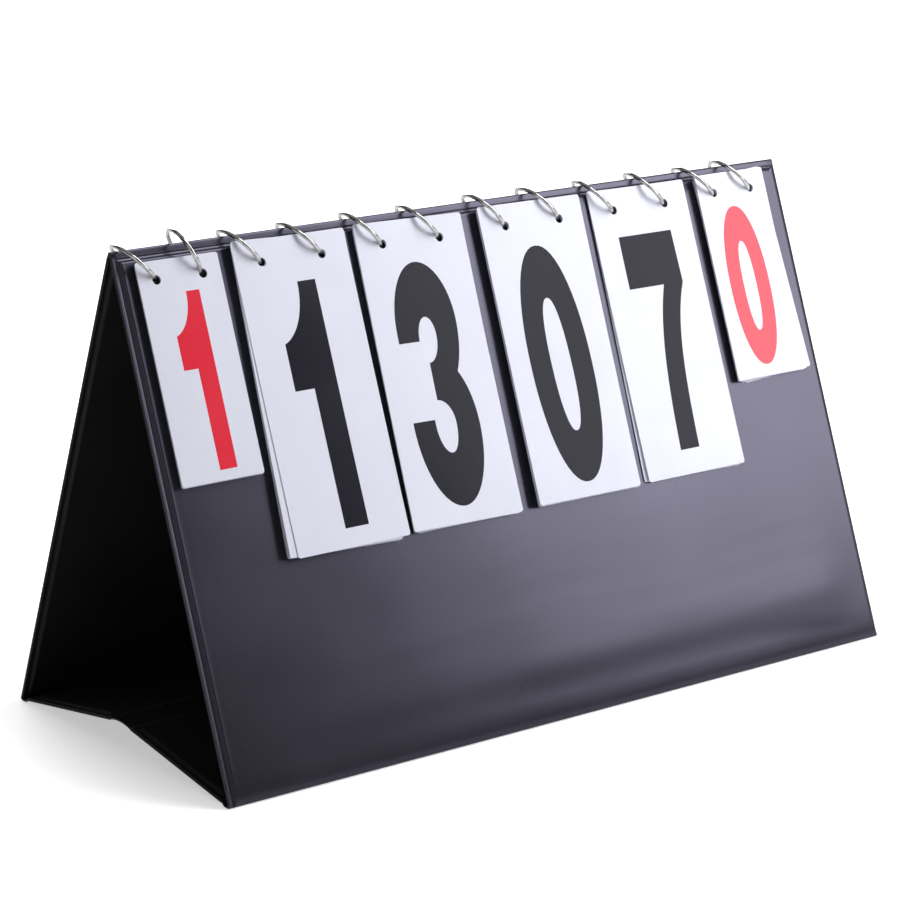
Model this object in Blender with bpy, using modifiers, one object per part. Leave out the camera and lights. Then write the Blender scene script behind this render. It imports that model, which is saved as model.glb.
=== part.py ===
"""Tabletop flip scoreboard: a folding tent of four padded boards with six stacks of number cards on rings.

Units are metres and +Z is up. The ridge runs along X, the front faces -Y, and the origin is on the
table below the middle of the ridge. Each board is a stiff core welded between two vinyl skins, and
each stack of cards hangs over the ridge on two rings.
"""

import math

import bmesh
import bpy
from mathutils import Vector

# The tent
WIDTH = 0.380
PANEL_SLANT = 0.2395
RIDGE_HALF_ANGLE = math.radians(20.87)
FLAP_SLOPE = math.radians(9.2)
FLAP_ROOT_INSET = 0.0061
FLAP_ROOT_HEIGHT = 0.00185
KNEE_HALF_GAP = 0.0082
RIDGE_AXIS_DROP = 0.0034

# The padded boards, measured from a board's middle plane
PILLOW_HALF = 0.0015
SKIN_THICKNESS = 0.0004
WELD_FLANGE_WIDTH = 0.0024
RIDGE_WELD_WIDTH = 0.0012
SHOULDER_WIDTH = 0.0022
BOARD_CORNER_RADIUS = 0.003
CORNER_STEPS = 3
SEAT_GAP = 0.0003

# The folded vinyl strips that join the boards
STRIP_THICKNESS = 0.0008
RIDGE_STRIP_LEG = 0.0029
RIDGE_STRIP_RADIUS = 0.0005
FOOT_STRIP_HEIGHT = 0.0023
FOOT_FILLET_RADIUS = 0.0008
FOOT_FLAT_LENGTH = 0.0025
KNEE_WEB_RISE = 0.0011
BEND_STEPS = 4

# The rings
RING_RADIUS = 0.0124
RING_WIRE_RADIUS = 0.00095
RING_CENTRE_DROP = 0.0019
RING_SEGMENTS = 20
WIRE_SIDES = 6
PANEL_HOLE_RADIUS = 0.0025

# The cards
CARD_THICKNESS = 0.0003
CARD_SPACE = 0.0001
CARD_HOLE_RADIUS = 0.0022
HANG_OFFSET_FRONT = 0.0008
HANG_BLOCK_FRONT = 0.0006
HANG_OFFSET_BACK = 0.0002
HOLE_SIDES = 8
LARGE_CARD = {"width": 0.0598, "height": 0.138, "hole_to_top": 0.0101, "hole_spacing": 0.0317, "count": 10}
SMALL_CARD = {"width": 0.0425, "height": 0.0982, "hole_to_top": 0.009, "hole_spacing": 0.0234, "count": 8}

# Each stack from left to right: its card, the free space on its left, the number shown, which is
# how many cards are turned to the back, and how far its lowest cards swing to +X at their bottom
# edge. The spaces and swings stretch alike, so that the row of stacks fills the width of the tent.
ROW = {
    "home_set": (SMALL_CARD, 0.00795, 1, ()),
    "home_tens": (LARGE_CARD, 0.00645, 1, (-0.005, -0.0015)),
    "home_units": (LARGE_CARD, 0.0056, 3, (0.0015,)),
    "guest_tens": (LARGE_CARD, 0.0091, 0, ()),
    "guest_units": (LARGE_CARD, 0.0073, 7, (-0.0025,)),
    "guest_set": (SMALL_CARD, 0.00665, 0, (0.0035, 0.002)),
}
RIGHT_SPACE = 0.01275
FREE_WIDTH = WIDTH - sum(card["width"] for card, _, _, _ in ROW.values())
STRETCH = FREE_WIDTH / (RIGHT_SPACE + sum(space for _, space, _, _ in ROW.values()))
MOST_SEPARATE_TURNED_CARDS = 3

APEX_HEIGHT = PANEL_SLANT * math.cos(RIDGE_HALF_ANGLE)
RING_CENTRE_HEIGHT = APEX_HEIGHT - RING_CENTRE_DROP
CARD_PITCH = CARD_THICKNESS + CARD_SPACE
FIRST_CARD_OFFSET = PILLOW_HALF + SEAT_GAP + CARD_THICKNESS / 2
PANEL_TOP = RIDGE_STRIP_LEG + SEAT_GAP
PANEL_BOTTOM = PANEL_SLANT - FOOT_STRIP_HEIGHT - SEAT_GAP


def row_of_stacks():
    """Each stack's card, the middle of its width on X, the number shown and its swings."""
    stacks = {}
    edge = -WIDTH / 2
    for name, (card, space, shown, swings) in ROW.items():
        edge += space * STRETCH
        stacks[name] = (card, edge + card["width"] / 2, shown, tuple(swing * STRETCH for swing in swings))
        edge += card["width"]
    return stacks


STACKS = row_of_stacks()


def clear_scene():
    for obj in list(bpy.data.objects):
        bpy.data.objects.remove(obj, do_unlink=True)


def new_collection(name):
    collection = bpy.data.collections.new(name)
    bpy.context.scene.collection.children.link(collection)
    return collection


def new_material(name, color, roughness, metallic=0.0):
    material = bpy.data.materials.new(name)
    material.use_nodes = True
    shader = material.node_tree.nodes["Principled BSDF"]
    shader.inputs["Base Color"].default_value = (*color, 1.0)
    shader.inputs["Roughness"].default_value = roughness
    shader.inputs["Metallic"].default_value = metallic
    return material


clear_scene()
PARTS = new_collection("tabletop_scoreboard")
CUTTERS = new_collection("cutters")
CUTTERS.hide_render = True
VINYL = new_material("black_vinyl", (0.020, 0.019, 0.024), 0.42)
LINING = new_material("black_lining", (0.012, 0.012, 0.014), 0.60)
GREYBOARD = new_material("greyboard", (0.30, 0.28, 0.25), 0.90)
CARD_PLASTIC = new_material("white_card", (0.86, 0.87, 0.90), 0.35)
NICKEL = new_material("nickel_wire", (0.72, 0.71, 0.70), 0.22, 1.0)


def add_empty(name, location, tilt=0.0, parent=None):
    """An empty turned by tilt about X. Its place is given relative to its parent."""
    empty = bpy.data.objects.new(name, None)
    empty.empty_display_size = 0.02
    empty.location = location
    empty.rotation_euler = (tilt, 0.0, 0.0)
    empty.parent = parent
    PARTS.objects.link(empty)
    return empty


def add_object(name, bm, parent, material=None, collection=PARTS):
    mesh = bpy.data.meshes.new(name)
    bm.to_mesh(mesh)
    bm.free()
    obj = bpy.data.objects.new(name, mesh)
    obj.parent = parent
    if material:
        mesh.materials.append(material)
    collection.objects.link(obj)
    return obj


def solidify(obj, thickness, offset):
    modifier = obj.modifiers.new("thickness", "SOLIDIFY")
    modifier.thickness = thickness
    modifier.offset = offset
    modifier.use_even_offset = True


def drill(obj, cutter):
    modifier = obj.modifiers.new("holes", "BOOLEAN")
    modifier.operation = "DIFFERENCE"
    modifier.solver = "EXACT"
    modifier.object = cutter


def rounded_rectangle(x_low, x_high, y_low, y_high, radius):
    """Points of a rounded rectangle, counterclockwise seen from +Z."""
    corners = [
        (x_high - radius, y_low + radius, -90),
        (x_high - radius, y_high - radius, 0),
        (x_low + radius, y_high - radius, 90),
        (x_low + radius, y_low + radius, 180),
    ]
    points = []
    for x, y, start in corners:
        for step in range(CORNER_STEPS + 1):
            angle = math.radians(start + 90 * step / CORNER_STEPS)
            points.append((x + radius * math.cos(angle), y + radius * math.sin(angle)))
    return points


def add_skin(name, parent, y_low, y_high, side, low_weld, material, cutter=None):
    """One vinyl skin of a board: a flat weld round the edge, a soft shoulder, and a raised field.

    side is +1 where the skin faces the frame's +Z and -1 where it faces -Z.
    """
    weld_height = SEAT_GAP / 2 + SKIN_THICKNESS
    levels = [
        (0.0, 0.0, weld_height),
        (WELD_FLANGE_WIDTH, low_weld, weld_height),
        (WELD_FLANGE_WIDTH + SHOULDER_WIDTH / 2, low_weld + SHOULDER_WIDTH / 2,
         weld_height + 0.7 * (PILLOW_HALF - weld_height)),
        (WELD_FLANGE_WIDTH + SHOULDER_WIDTH, low_weld + SHOULDER_WIDTH, PILLOW_HALF),
    ]
    bm = bmesh.new()
    loops = []
    for inset, low_inset, height in levels:
        outline = rounded_rectangle(
            -WIDTH / 2 + inset, WIDTH / 2 - inset, y_low + low_inset, y_high - inset, BOARD_CORNER_RADIUS
        )
        loops.append([bm.verts.new((x, y, side * height)) for x, y in outline])
    count = len(loops[0])
    for outer, inner in zip(loops, loops[1:]):
        for i in range(count):
            j = (i + 1) % count
            bm.faces.new((outer[i], outer[j], inner[j], inner[i]))
    bm.faces.new(loops[-1])
    if side < 0:
        bmesh.ops.reverse_faces(bm, faces=bm.faces)
    skin = add_object(name, bm, parent, material)
    solidify(skin, SKIN_THICKNESS, -1.0)
    if cutter:
        drill(skin, cutter)
    return skin


def add_board(name, parent, y_low, y_high, low_weld, cutter=None):
    """The stiff core between a board's two skins."""
    edge = WELD_FLANGE_WIDTH + SHOULDER_WIDTH
    thickness = 2 * (PILLOW_HALF - SKIN_THICKNESS - SEAT_GAP)
    y_start = y_low + low_weld + SHOULDER_WIDTH
    y_end = y_high - edge
    bm = bmesh.new()
    bmesh.ops.create_cube(bm, size=1.0)
    bmesh.ops.scale(bm, vec=(WIDTH - 2 * edge, y_end - y_start, thickness), verts=bm.verts)
    bmesh.ops.translate(bm, vec=(0, (y_start + y_end) / 2, 0), verts=bm.verts)
    board = add_object(name, bm, parent, GREYBOARD)
    if cutter:
        drill(board, cutter)
    return board


def add_padded_board(name, frame, y_low, y_high, outer_side, low_weld, cutter=None):
    add_skin(name + "_cover", frame, y_low, y_high, outer_side, low_weld, VINYL, cutter)
    add_board(name + "_board", frame, y_low, y_high, low_weld, cutter)
    add_skin(name + "_lining", frame, y_low, y_high, -outer_side, low_weld, LINING, cutter)


def add_strip(name, path):
    """A vinyl strip as wide as the tent, bent along a path of (y, z) points in its middle plane."""
    bm = bmesh.new()
    left = [bm.verts.new((-WIDTH / 2, y, z)) for y, z in path]
    right = [bm.verts.new((WIDTH / 2, y, z)) for y, z in path]
    for i in range(len(path) - 1):
        bm.faces.new((left[i], right[i], right[i + 1], left[i + 1]))
    strip = add_object(name, bm, None, VINYL)
    solidify(strip, STRIP_THICKNESS, 0.0)
    return strip


def keep_place(obj, parent):
    """Parents an object that was built in world coordinates."""
    bpy.context.view_layer.update()
    obj.parent = parent
    obj.matrix_parent_inverse = parent.matrix_world.inverted()


def on_panel(side, distance, offset=0.0):
    """(y, z) of a point on the front (side -1) or back (side +1) panel.

    distance runs down from the ridge in the panel's middle plane and offset stands out of it.
    """
    sine, cosine = math.sin(RIDGE_HALF_ANGLE), math.cos(RIDGE_HALF_ANGLE)
    y = side * (distance * sine + offset * cosine)
    z = APEX_HEIGHT - distance * cosine + offset * sine
    return Vector((y, z))


def wire_distance(offset):
    """How far down a panel a ring crosses a card that lies offset out of the panel's middle plane."""
    centre_offset = -RING_CENTRE_DROP * math.sin(RIDGE_HALF_ANGLE)
    centre_distance = RING_CENTRE_DROP * math.cos(RIDGE_HALF_ANGLE)
    return centre_distance + math.sqrt(RING_RADIUS**2 - (offset - centre_offset) ** 2)


def arc(centre, radius, start, end):
    """Points of an arc in the (y, z) plane, with its angles in radians."""
    points = []
    for step in range(BEND_STEPS + 1):
        angle = start + (end - start) * step / BEND_STEPS
        points.append(Vector((centre[0] + radius * math.cos(angle), centre[1] + radius * math.sin(angle))))
    return points


def meeting_point(point_a, along_a, point_b, along_b):
    """Where two lines in the (y, z) plane cross."""
    across = Vector((-along_b.y, along_b.x))
    return point_a + along_a * ((point_b - point_a).dot(across) / along_a.dot(across))


def flap_root(side):
    """(y, z) of the end of a base flap beside its hinge, in the flap's middle plane."""
    return Vector((side * (PANEL_SLANT * math.sin(RIDGE_HALF_ANGLE) - FLAP_ROOT_INSET), FLAP_ROOT_HEIGHT))


def flap_direction(side):
    return Vector((-side * math.cos(FLAP_SLOPE), math.sin(FLAP_SLOPE)))


def flap_axis(side):
    """(y, z) of a base hinge: the panel's inner face meets the flap's upper face there."""
    face = PILLOW_HALF + SKIN_THICKNESS / 4
    along_panel = on_panel(side, 1.0) - on_panel(side, 0.0)
    along_flap = flap_direction(side)
    up_from_flap = Vector((side * math.sin(FLAP_SLOPE), math.cos(FLAP_SLOPE)))
    return meeting_point(
        on_panel(side, 0.0, -face), along_panel, flap_root(side) + up_from_flap * face, along_flap
    )


def panel_tilt(side):
    """Turn about X that takes +Y down the panel and Z square to it."""
    return -(math.pi / 2 - side * RIDGE_HALF_ANGLE)


def flap_tilt(side):
    return FLAP_SLOPE if side < 0 else math.pi - FLAP_SLOPE


def hole_centres():
    """X of every ring, in order along the ridge."""
    return [
        middle + half * card["hole_spacing"] / 2 for card, middle, _, _ in STACKS.values() for half in (-1, 1)
    ]


def add_hole_cutter(name, frame):
    """One cutter for a panel: a drill through all its skins at each ring."""
    bm = bmesh.new()
    for x in hole_centres():
        made = bmesh.ops.create_cone(
            bm, cap_ends=True, segments=HOLE_SIDES, radius1=PANEL_HOLE_RADIUS, radius2=PANEL_HOLE_RADIUS,
            depth=6 * PILLOW_HALF
        )
        bmesh.ops.translate(bm, vec=(x, wire_distance(0.0), 0.0), verts=made["verts"])
    cutter = add_object(name, bm, frame, collection=CUTTERS)
    cutter.hide_render = True
    cutter.display_type = "WIRE"
    return cutter


def card_sheet(card):
    """A card as a bmesh, flat in XY with the middle of its two holes at the origin and +Y down the card."""
    half_width = card["width"] / 2
    top = -card["hole_to_top"]
    bottom = card["height"] - card["hole_to_top"]
    loops = [[(-half_width, top), (half_width, top), (half_width, bottom), (-half_width, bottom)]]
    radius = CARD_HOLE_RADIUS / math.cos(math.pi / HOLE_SIDES)
    for half in (-1, 1):
        centre = half * card["hole_spacing"] / 2
        angles = [2 * math.pi * (step + 0.5) / HOLE_SIDES for step in range(HOLE_SIDES)]
        loops.append([(centre + radius * math.cos(a), radius * math.sin(a)) for a in angles])

    curve = bpy.data.curves.new("sheet", "CURVE")
    curve.dimensions = "2D"
    curve.fill_mode = "BOTH"
    curve.extrude = CARD_THICKNESS / 2
    for loop in loops:
        spline = curve.splines.new("POLY")
        spline.points.add(len(loop) - 1)
        for point, (x, y) in zip(spline.points, loop):
            point.co = (x, y, 0.0, 1.0)
        spline.use_cyclic_u = True
    sheet = bpy.data.objects.new("sheet", curve)
    PARTS.objects.link(sheet)
    bpy.context.view_layer.update()
    mesh = bpy.data.meshes.new_from_object(sheet.evaluated_get(bpy.context.evaluated_depsgraph_get()))
    bm = bmesh.new()
    bm.from_mesh(mesh)
    bmesh.ops.remove_doubles(bm, verts=bm.verts, dist=1e-6)
    bmesh.ops.recalc_face_normals(bm, faces=bm.faces)
    bpy.data.objects.remove(sheet, do_unlink=True)
    bpy.data.curves.remove(curve)
    bpy.data.meshes.remove(mesh)
    return bm


def add_cards(name, plane, card, middle, first, count, side, hang_offset, shift=0.0):
    """One card, or a block of cards that lie on each other, hung on the rings over a panel.

    first is the place of the lowest card, counted from the panel. Each face of the solid hangs from
    where the ring crosses it, so a thick block slopes as a real stack on rings does. shift is how far
    the bottom edge swings to +X about the holes.
    """
    bm = card_sheet(card)
    swing = shift / (card["height"] - card["hole_to_top"])
    low = FIRST_CARD_OFFSET + first * CARD_PITCH - CARD_THICKNESS / 2
    high = low + count * CARD_PITCH - CARD_SPACE
    for vert in bm.verts:
        x, y, z = vert.co
        offset = high if z > 0 else low
        if abs(x) > card["hole_spacing"] / 2 + 2 * CARD_HOLE_RADIUS:
            x, y = x + y * swing, y - x * swing
        vert.co = (middle + x, wire_distance(offset) + hang_offset + y, side * offset)
    if side < 0:
        bmesh.ops.reverse_faces(bm, faces=bm.faces)
    add_object(name, bm, plane, CARD_PLASTIC)


def add_ring(name, frame, x):
    """A closed ring of wire in the plane across the ridge, centred on its turning axis."""
    bpy.ops.mesh.primitive_torus_add(
        align="WORLD", major_segments=RING_SEGMENTS, minor_segments=WIRE_SIDES,
        major_radius=RING_RADIUS, minor_radius=RING_WIRE_RADIUS
    )
    ring = bpy.context.active_object
    ring.name = name
    ring.data.name = name
    for collection in list(ring.users_collection):
        collection.objects.unlink(ring)
    PARTS.objects.link(ring)
    ring.parent = frame
    ring.location = (x, 0.0, 0.0)
    ring.rotation_euler = (0.0, math.pi / 2, 0.0)
    ring.data.materials.append(NICKEL)
    ring.data.shade_smooth()


def build_ridge_strip(front_frame):
    """The spine: a narrow vinyl strip folded over the ridge, on which the two panels hinge."""
    centre = Vector((0.0, APEX_HEIGHT - RIDGE_STRIP_RADIUS / math.sin(RIDGE_HALF_ANGLE)))
    bend = arc(centre, RIDGE_STRIP_RADIUS, math.pi - RIDGE_HALF_ANGLE, RIDGE_HALF_ANGLE)
    path = [on_panel(-1, RIDGE_STRIP_LEG), *bend, on_panel(1, RIDGE_STRIP_LEG)]
    keep_place(add_strip("ridge_strip", path), front_frame)


def build_foot_strip(name, side, frame):
    """The vinyl that turns from a panel into its base flap, flat where it stands on the table."""
    middle_height = STRIP_THICKNESS / 2
    corner = meeting_point(
        on_panel(side, 0.0), on_panel(side, 1.0) - on_panel(side, 0.0), Vector((0.0, middle_height)), Vector((1.0, 0.0))
    )
    half_corner = (math.pi / 2 - RIDGE_HALF_ANGLE) / 2
    centre = corner + Vector(
        (-side * FOOT_FILLET_RADIUS / math.tan(half_corner), FOOT_FILLET_RADIUS)
    )
    face_angle = RIDGE_HALF_ANGLE if side > 0 else math.pi - RIDGE_HALF_ANGLE
    down_angle = -math.pi / 2 if side > 0 else 3 * math.pi / 2
    bend = arc(centre, FOOT_FILLET_RADIUS, face_angle, down_angle)
    flat_end = Vector((bend[-1].x - side * FOOT_FLAT_LENGTH, middle_height))
    flap_end = flap_root(side) - flap_direction(side) * (SEAT_GAP + STRIP_THICKNESS / 4)
    path = [on_panel(side, PANEL_SLANT - FOOT_STRIP_HEIGHT), *bend, flat_end, flap_end]
    keep_place(add_strip(name, path), frame)


def build_knee_web(name, side, frame):
    """Half of the thin arched web over the knee, from its flap's tip to the middle."""
    start = flap_tip(side) + flap_direction(side) * SEAT_GAP
    end = side * SEAT_GAP / 2
    path = []
    for step in range(BEND_STEPS + 1):
        y = start.x + (end - start.x) * step / BEND_STEPS
        path.append(Vector((y, start.y + KNEE_WEB_RISE * (1 - (y / start.x) ** 2))))
    keep_place(add_strip(name, path), frame)


def flap_length():
    reach = abs(flap_root(1).x) - KNEE_HALF_GAP
    return reach / math.cos(FLAP_SLOPE)


def flap_tip(side):
    return flap_root(side) + flap_direction(side) * flap_length()


def build_panel(name, side, plane):
    cutter = add_hole_cutter(name + "_hole_cutter", plane)
    add_padded_board(name, plane, PANEL_TOP, PANEL_BOTTOM, side, RIDGE_WELD_WIDTH, cutter)


def build_flap(name, side, parent, parent_origin):
    """A base flap on its own hinge, with its half of the knee web."""
    axis = flap_axis(side)
    hinge = add_empty(name + "_hinge", (0.0, axis.x - parent_origin.x, axis.y - parent_origin.y), 0.0, parent)
    root = flap_root(side)
    plane = add_empty(name + "_plane", (0.0, root.x - axis.x, root.y - axis.y), flap_tilt(side), hinge)
    add_padded_board(name, plane, 0.0, flap_length(), side, WELD_FLANGE_WIDTH)
    build_knee_web(name + "_knee_web", side, hinge)


def build_stack(name, card, middle, shown, loose_shifts, front_root, front_plane, back_plane):
    """A stack of numbered cards: the top card and its rings move, and the rest lie on the two panels.

    The cards that peek out are solids of their own, and those hidden between them are one block.
    """
    front_count = card["count"] - shown - 1
    turn = add_empty(name + "_ring_turn", (middle, 0.0, RING_CENTRE_HEIGHT), 0.0, front_root)
    for label, half in (("left", -1), ("right", 1)):
        add_ring(f"{name}_{label}_ring", turn, half * card["hole_spacing"] / 2)

    top_offset = FIRST_CARD_OFFSET + front_count * CARD_PITCH
    wire = on_panel(-1, wire_distance(top_offset), top_offset)
    pivot = add_empty(name + "_card_pivot", (0.0, wire.x, wire.y - RING_CENTRE_HEIGHT), panel_tilt(-1), turn)
    top_card = card_sheet(card)
    bmesh.ops.translate(top_card, vec=(0.0, HANG_OFFSET_FRONT, 0.0), verts=top_card.verts)
    add_object(name + "_top_card", top_card, pivot, CARD_PLASTIC)

    for place, shift in enumerate(loose_shifts):
        add_cards(
            f"{name}_loose_card_{place + 1}", front_plane, card, middle, place, 1, -1, HANG_OFFSET_FRONT, shift
        )
    place = len(loose_shifts)
    add_cards(
        name + "_front_cards", front_plane, card, middle, place, front_count - place, -1, HANG_BLOCK_FRONT
    )
    if shown > MOST_SEPARATE_TURNED_CARDS:
        add_cards(name + "_turned_cards", back_plane, card, middle, 0, shown, 1, HANG_OFFSET_BACK)
        return
    for place in range(shown):
        add_cards(
            f"{name}_turned_card_{place + 1}", back_plane, card, middle, place, 1, 1, HANG_OFFSET_BACK
        )


def main():
    front_root = add_empty("front_panel_root", (0.0, 0.0, 0.0))
    front_plane = add_empty("front_panel_plane", (0.0, 0.0, APEX_HEIGHT), panel_tilt(-1), front_root)
    ridge_axis = Vector((0.0, APEX_HEIGHT - RIDGE_AXIS_DROP))
    ridge_hinge = add_empty("ridge_hinge", (0.0, 0.0, ridge_axis.y), 0.0, front_root)
    back_plane = add_empty("back_panel_plane", (0.0, 0.0, RIDGE_AXIS_DROP), panel_tilt(1), ridge_hinge)

    build_panel("front_panel", -1, front_plane)
    build_panel("back_panel", 1, back_plane)
    build_ridge_strip(front_root)
    build_foot_strip("front_foot_strip", -1, front_root)
    build_foot_strip("back_foot_strip", 1, ridge_hinge)
    build_flap("front_flap", -1, front_root, Vector((0.0, 0.0)))
    build_flap("back_flap", 1, ridge_hinge, ridge_axis)
    for name, (card, middle, shown, loose_shifts) in STACKS.items():
        build_stack(name, card, middle, shown, loose_shifts, front_root, front_plane, back_plane)


main()
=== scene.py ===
"""Looks of the tabletop flip scoreboard: welded vinyl boards, plastic number cards and nickel rings.

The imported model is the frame. Lengths are metres, +X runs along the ridge to the right, the front
faces -Y and +Z is up. Each board has its own plane: x along the tent, d down the board, h out of it.
"""

import logging
import math
from dataclasses import dataclass, field, replace
from enum import Enum

import bpy
import numpy as np
from mathutils import Matrix, Vector


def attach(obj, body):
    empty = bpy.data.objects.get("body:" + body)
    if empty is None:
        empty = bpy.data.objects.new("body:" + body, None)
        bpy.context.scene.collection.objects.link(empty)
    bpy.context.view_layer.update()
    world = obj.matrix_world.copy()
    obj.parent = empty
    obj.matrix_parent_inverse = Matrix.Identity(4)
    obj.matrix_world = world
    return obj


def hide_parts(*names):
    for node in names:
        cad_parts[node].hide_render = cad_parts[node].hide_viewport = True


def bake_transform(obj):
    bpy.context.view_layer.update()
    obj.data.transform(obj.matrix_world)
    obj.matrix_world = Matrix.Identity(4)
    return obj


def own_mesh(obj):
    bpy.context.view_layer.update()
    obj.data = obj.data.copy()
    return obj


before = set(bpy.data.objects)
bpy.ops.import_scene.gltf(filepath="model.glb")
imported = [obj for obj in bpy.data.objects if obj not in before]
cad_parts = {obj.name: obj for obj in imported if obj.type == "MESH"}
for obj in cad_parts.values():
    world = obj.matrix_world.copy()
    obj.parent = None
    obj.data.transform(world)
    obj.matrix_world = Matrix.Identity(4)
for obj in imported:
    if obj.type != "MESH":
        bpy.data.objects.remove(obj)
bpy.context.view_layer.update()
LOG = logging.getLogger("scoreboard")

# A height too small to see, which keeps faces that lie on each other out of one plane
HAIR = 0.00001

# Grid lines closer than this count as one
LEAST_GAP = 0.00002

Grid = np.ndarray
Shell = tuple[np.ndarray, np.ndarray]
Hole = tuple[float, float]
Span = tuple[float, float]
Color = tuple[float, float, float]
Material = bpy.types.Material


# Grids and meshes


def graded_lines(low: float, high: float, step: float, *knots: np.ndarray) -> np.ndarray:
    """Places of grid lines: every knot, with the gaps between knots split evenly to at most step.

    Args:
        low: The first place.
        high: The last place.
        step: The widest gap allowed.
        knots: Arrays of places that get a line of their own.
    Returns:
        The places in rising order.
    """
    marks = np.unique(np.round(np.concatenate([np.array([low, high]), *knots]), 7))
    marks = marks[(marks >= low - 1e-9) & (marks <= high + 1e-9)]
    marks = marks[np.concatenate([[True], np.diff(marks) > LEAST_GAP])]
    counts = np.maximum(1, np.ceil(np.diff(marks) / step).astype(int))
    runs = [np.linspace(a, b, n, endpoint=False) for a, b, n in zip(marks, marks[1:], counts)]
    return np.concatenate([*runs, marks[-1:]])


def smoothstep(value: np.ndarray) -> np.ndarray:
    """Three times the square less two times the cube of value, which is first held between 0 and 1."""
    share = np.clip(value, 0.0, 1.0)
    return share * share * (3.0 - 2.0 * share)


def round_corners(
    x: Grid, y: Grid, box: tuple[float, float, float, float], radius: float
) -> tuple[Grid, Grid]:
    """Draws the four corners of a rectangular grid onto arcs.

    In each corner square, with a and b measured from the arc's centre, a point goes to the distance
    max(a, b) from the centre, at an angle that grows evenly along the square's side.

    Args:
        x: Places of the grid's points along one side.
        y: Their places along the other side.
        box: The rectangle's low and high x, then its low and high y.
        radius: The corners' radius.
    Returns:
        The moved x and y.
    """
    centre_x = np.clip(x, box[0] + radius, box[1] - radius)
    centre_y = np.clip(y, box[2] + radius, box[3] - radius)
    a, b = x - centre_x, y - centre_y
    reach = np.maximum(np.abs(a), np.abs(b))
    angle = math.pi / 4 * np.minimum(np.abs(a), np.abs(b)) / np.maximum(reach, 1e-12)
    along, across = reach * np.cos(angle), reach * np.sin(angle)
    wide = np.abs(a) >= np.abs(b)
    return (
        centre_x + np.sign(a) * np.where(wide, along, across),
        centre_y + np.sign(b) * np.where(wide, across, along),
    )


# Places of the grid lines round a hole, in its radii from its centre; the lines are bent as far as the last
HOLE_REACH = 1.9
HOLE_KNOTS = np.array([-HOLE_REACH, -1.4, -1.0, -0.577, -0.268, 0.0, 0.268, 0.577, 1.0, 1.4, HOLE_REACH])


def bend_round_holes(x: Grid, y: Grid, centres: list[Hole], radius: float) -> tuple[Grid, Grid]:
    """Bends grid lines round each punched hole.

    A square of lines round a hole's centre is scaled, point by point, so that it lies on the circle
    at the hole's radius and is square again at the reach, with a smooth blend between the two.

    Args:
        x: Places of the grid's points along one side.
        y: Their places along the other side.
        centres: Each hole's centre.
        radius: The holes' radius.
    Returns:
        The moved x and y.
    """
    for centre_x, centre_y in centres:
        a, b = x - centre_x, y - centre_y
        square = np.maximum(np.abs(a), np.abs(b))
        circle = square / np.maximum(np.hypot(a, b), 1e-12)
        blend = smoothstep((square - radius) / ((HOLE_REACH - 1.0) * radius))
        factor = circle + (1.0 - circle) * blend
        near = square < HOLE_REACH * radius
        x = np.where(near, centre_x + a * factor, x)
        y = np.where(near, centre_y + b * factor, y)
    return x, y


def cells_outside_holes(lines_x: np.ndarray, lines_y: np.ndarray, centres: list[Hole], radius: float) -> Grid:
    """True for each grid cell whose middle lies outside every hole's square of side two radii."""
    middle_x = (lines_x[:-1] + lines_x[1:])[:, None] / 2
    middle_y = (lines_y[:-1] + lines_y[1:])[None, :] / 2
    keep = np.ones((len(lines_x) - 1, len(lines_y) - 1), bool)
    for centre_x, centre_y in centres:
        keep &= np.maximum(np.abs(middle_x - centre_x), np.abs(middle_y - centre_y)) > radius
    return keep


def closed_shell(
    top: Grid, bottom: Grid, keep: Grid | None = None
) -> tuple[np.ndarray, np.ndarray, np.ndarray]:
    """A closed body between two grids of points, with a wall along every border of the kept cells.

    Args:
        top: Points of the upper grid, shaped (rows, columns, 3).
        bottom: Points of the lower grid, shaped alike.
        keep: True for each cell that is kept, or None for all of them.
    Returns:
        The points, the four-sided faces, and each point's place in the flattened grid.
    """
    rows, columns = top.shape[:2]
    if keep is None:
        keep = np.ones((rows - 1, columns - 1), bool)
    number = np.arange(rows * columns).reshape(rows, columns)
    layer = rows * columns
    corner_a, corner_b = number[:-1, :-1], number[1:, :-1]
    corner_c, corner_d = number[1:, 1:], number[:-1, 1:]
    around = np.pad(keep, 1)
    faces = [
        np.stack([corner_a[keep], corner_b[keep], corner_c[keep], corner_d[keep]], 1),
        np.stack([corner_d[keep], corner_c[keep], corner_b[keep], corner_a[keep]], 1) + layer,
    ]
    for open_side, start, end in (
        (keep & ~around[:-2, 1:-1], corner_a, corner_d),
        (keep & ~around[2:, 1:-1], corner_c, corner_b),
        (keep & ~around[1:-1, :-2], corner_b, corner_a),
        (keep & ~around[1:-1, 2:], corner_d, corner_c),
    ):
        first, second = start[open_side], end[open_side]
        faces.append(np.stack([first, second, second + layer, first + layer], 1))
    faces = np.concatenate(faces)
    used, renumbered = np.unique(faces, return_inverse=True)
    points = np.concatenate([top.reshape(-1, 3), bottom.reshape(-1, 3)])
    return points[used], renumbered.reshape(-1, 4), used % layer


def outward(points: np.ndarray, faces: np.ndarray) -> np.ndarray:
    """The faces, turned round as a whole if the volume that they enclose comes out negative."""
    middle = points.mean(0)
    a, b, c, d = (points[faces[:, k]] - middle for k in range(4))
    volume = np.einsum("ij,ij->", a, np.cross(b, c)) + np.einsum("ij,ij->", a, np.cross(c, d))
    return faces[:, ::-1] if volume < 0 else faces


def join_bodies(bodies: list[Shell]) -> Shell:
    """Several (points, faces) pairs as one pair, each body's faces already turned outwards."""
    starts = np.cumsum([0, *[len(points) for points, _ in bodies]])
    faces = [outward(points, quads) + start for (points, quads), start in zip(bodies, starts)]
    return np.concatenate([points for points, _ in bodies]), np.concatenate(faces)


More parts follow.
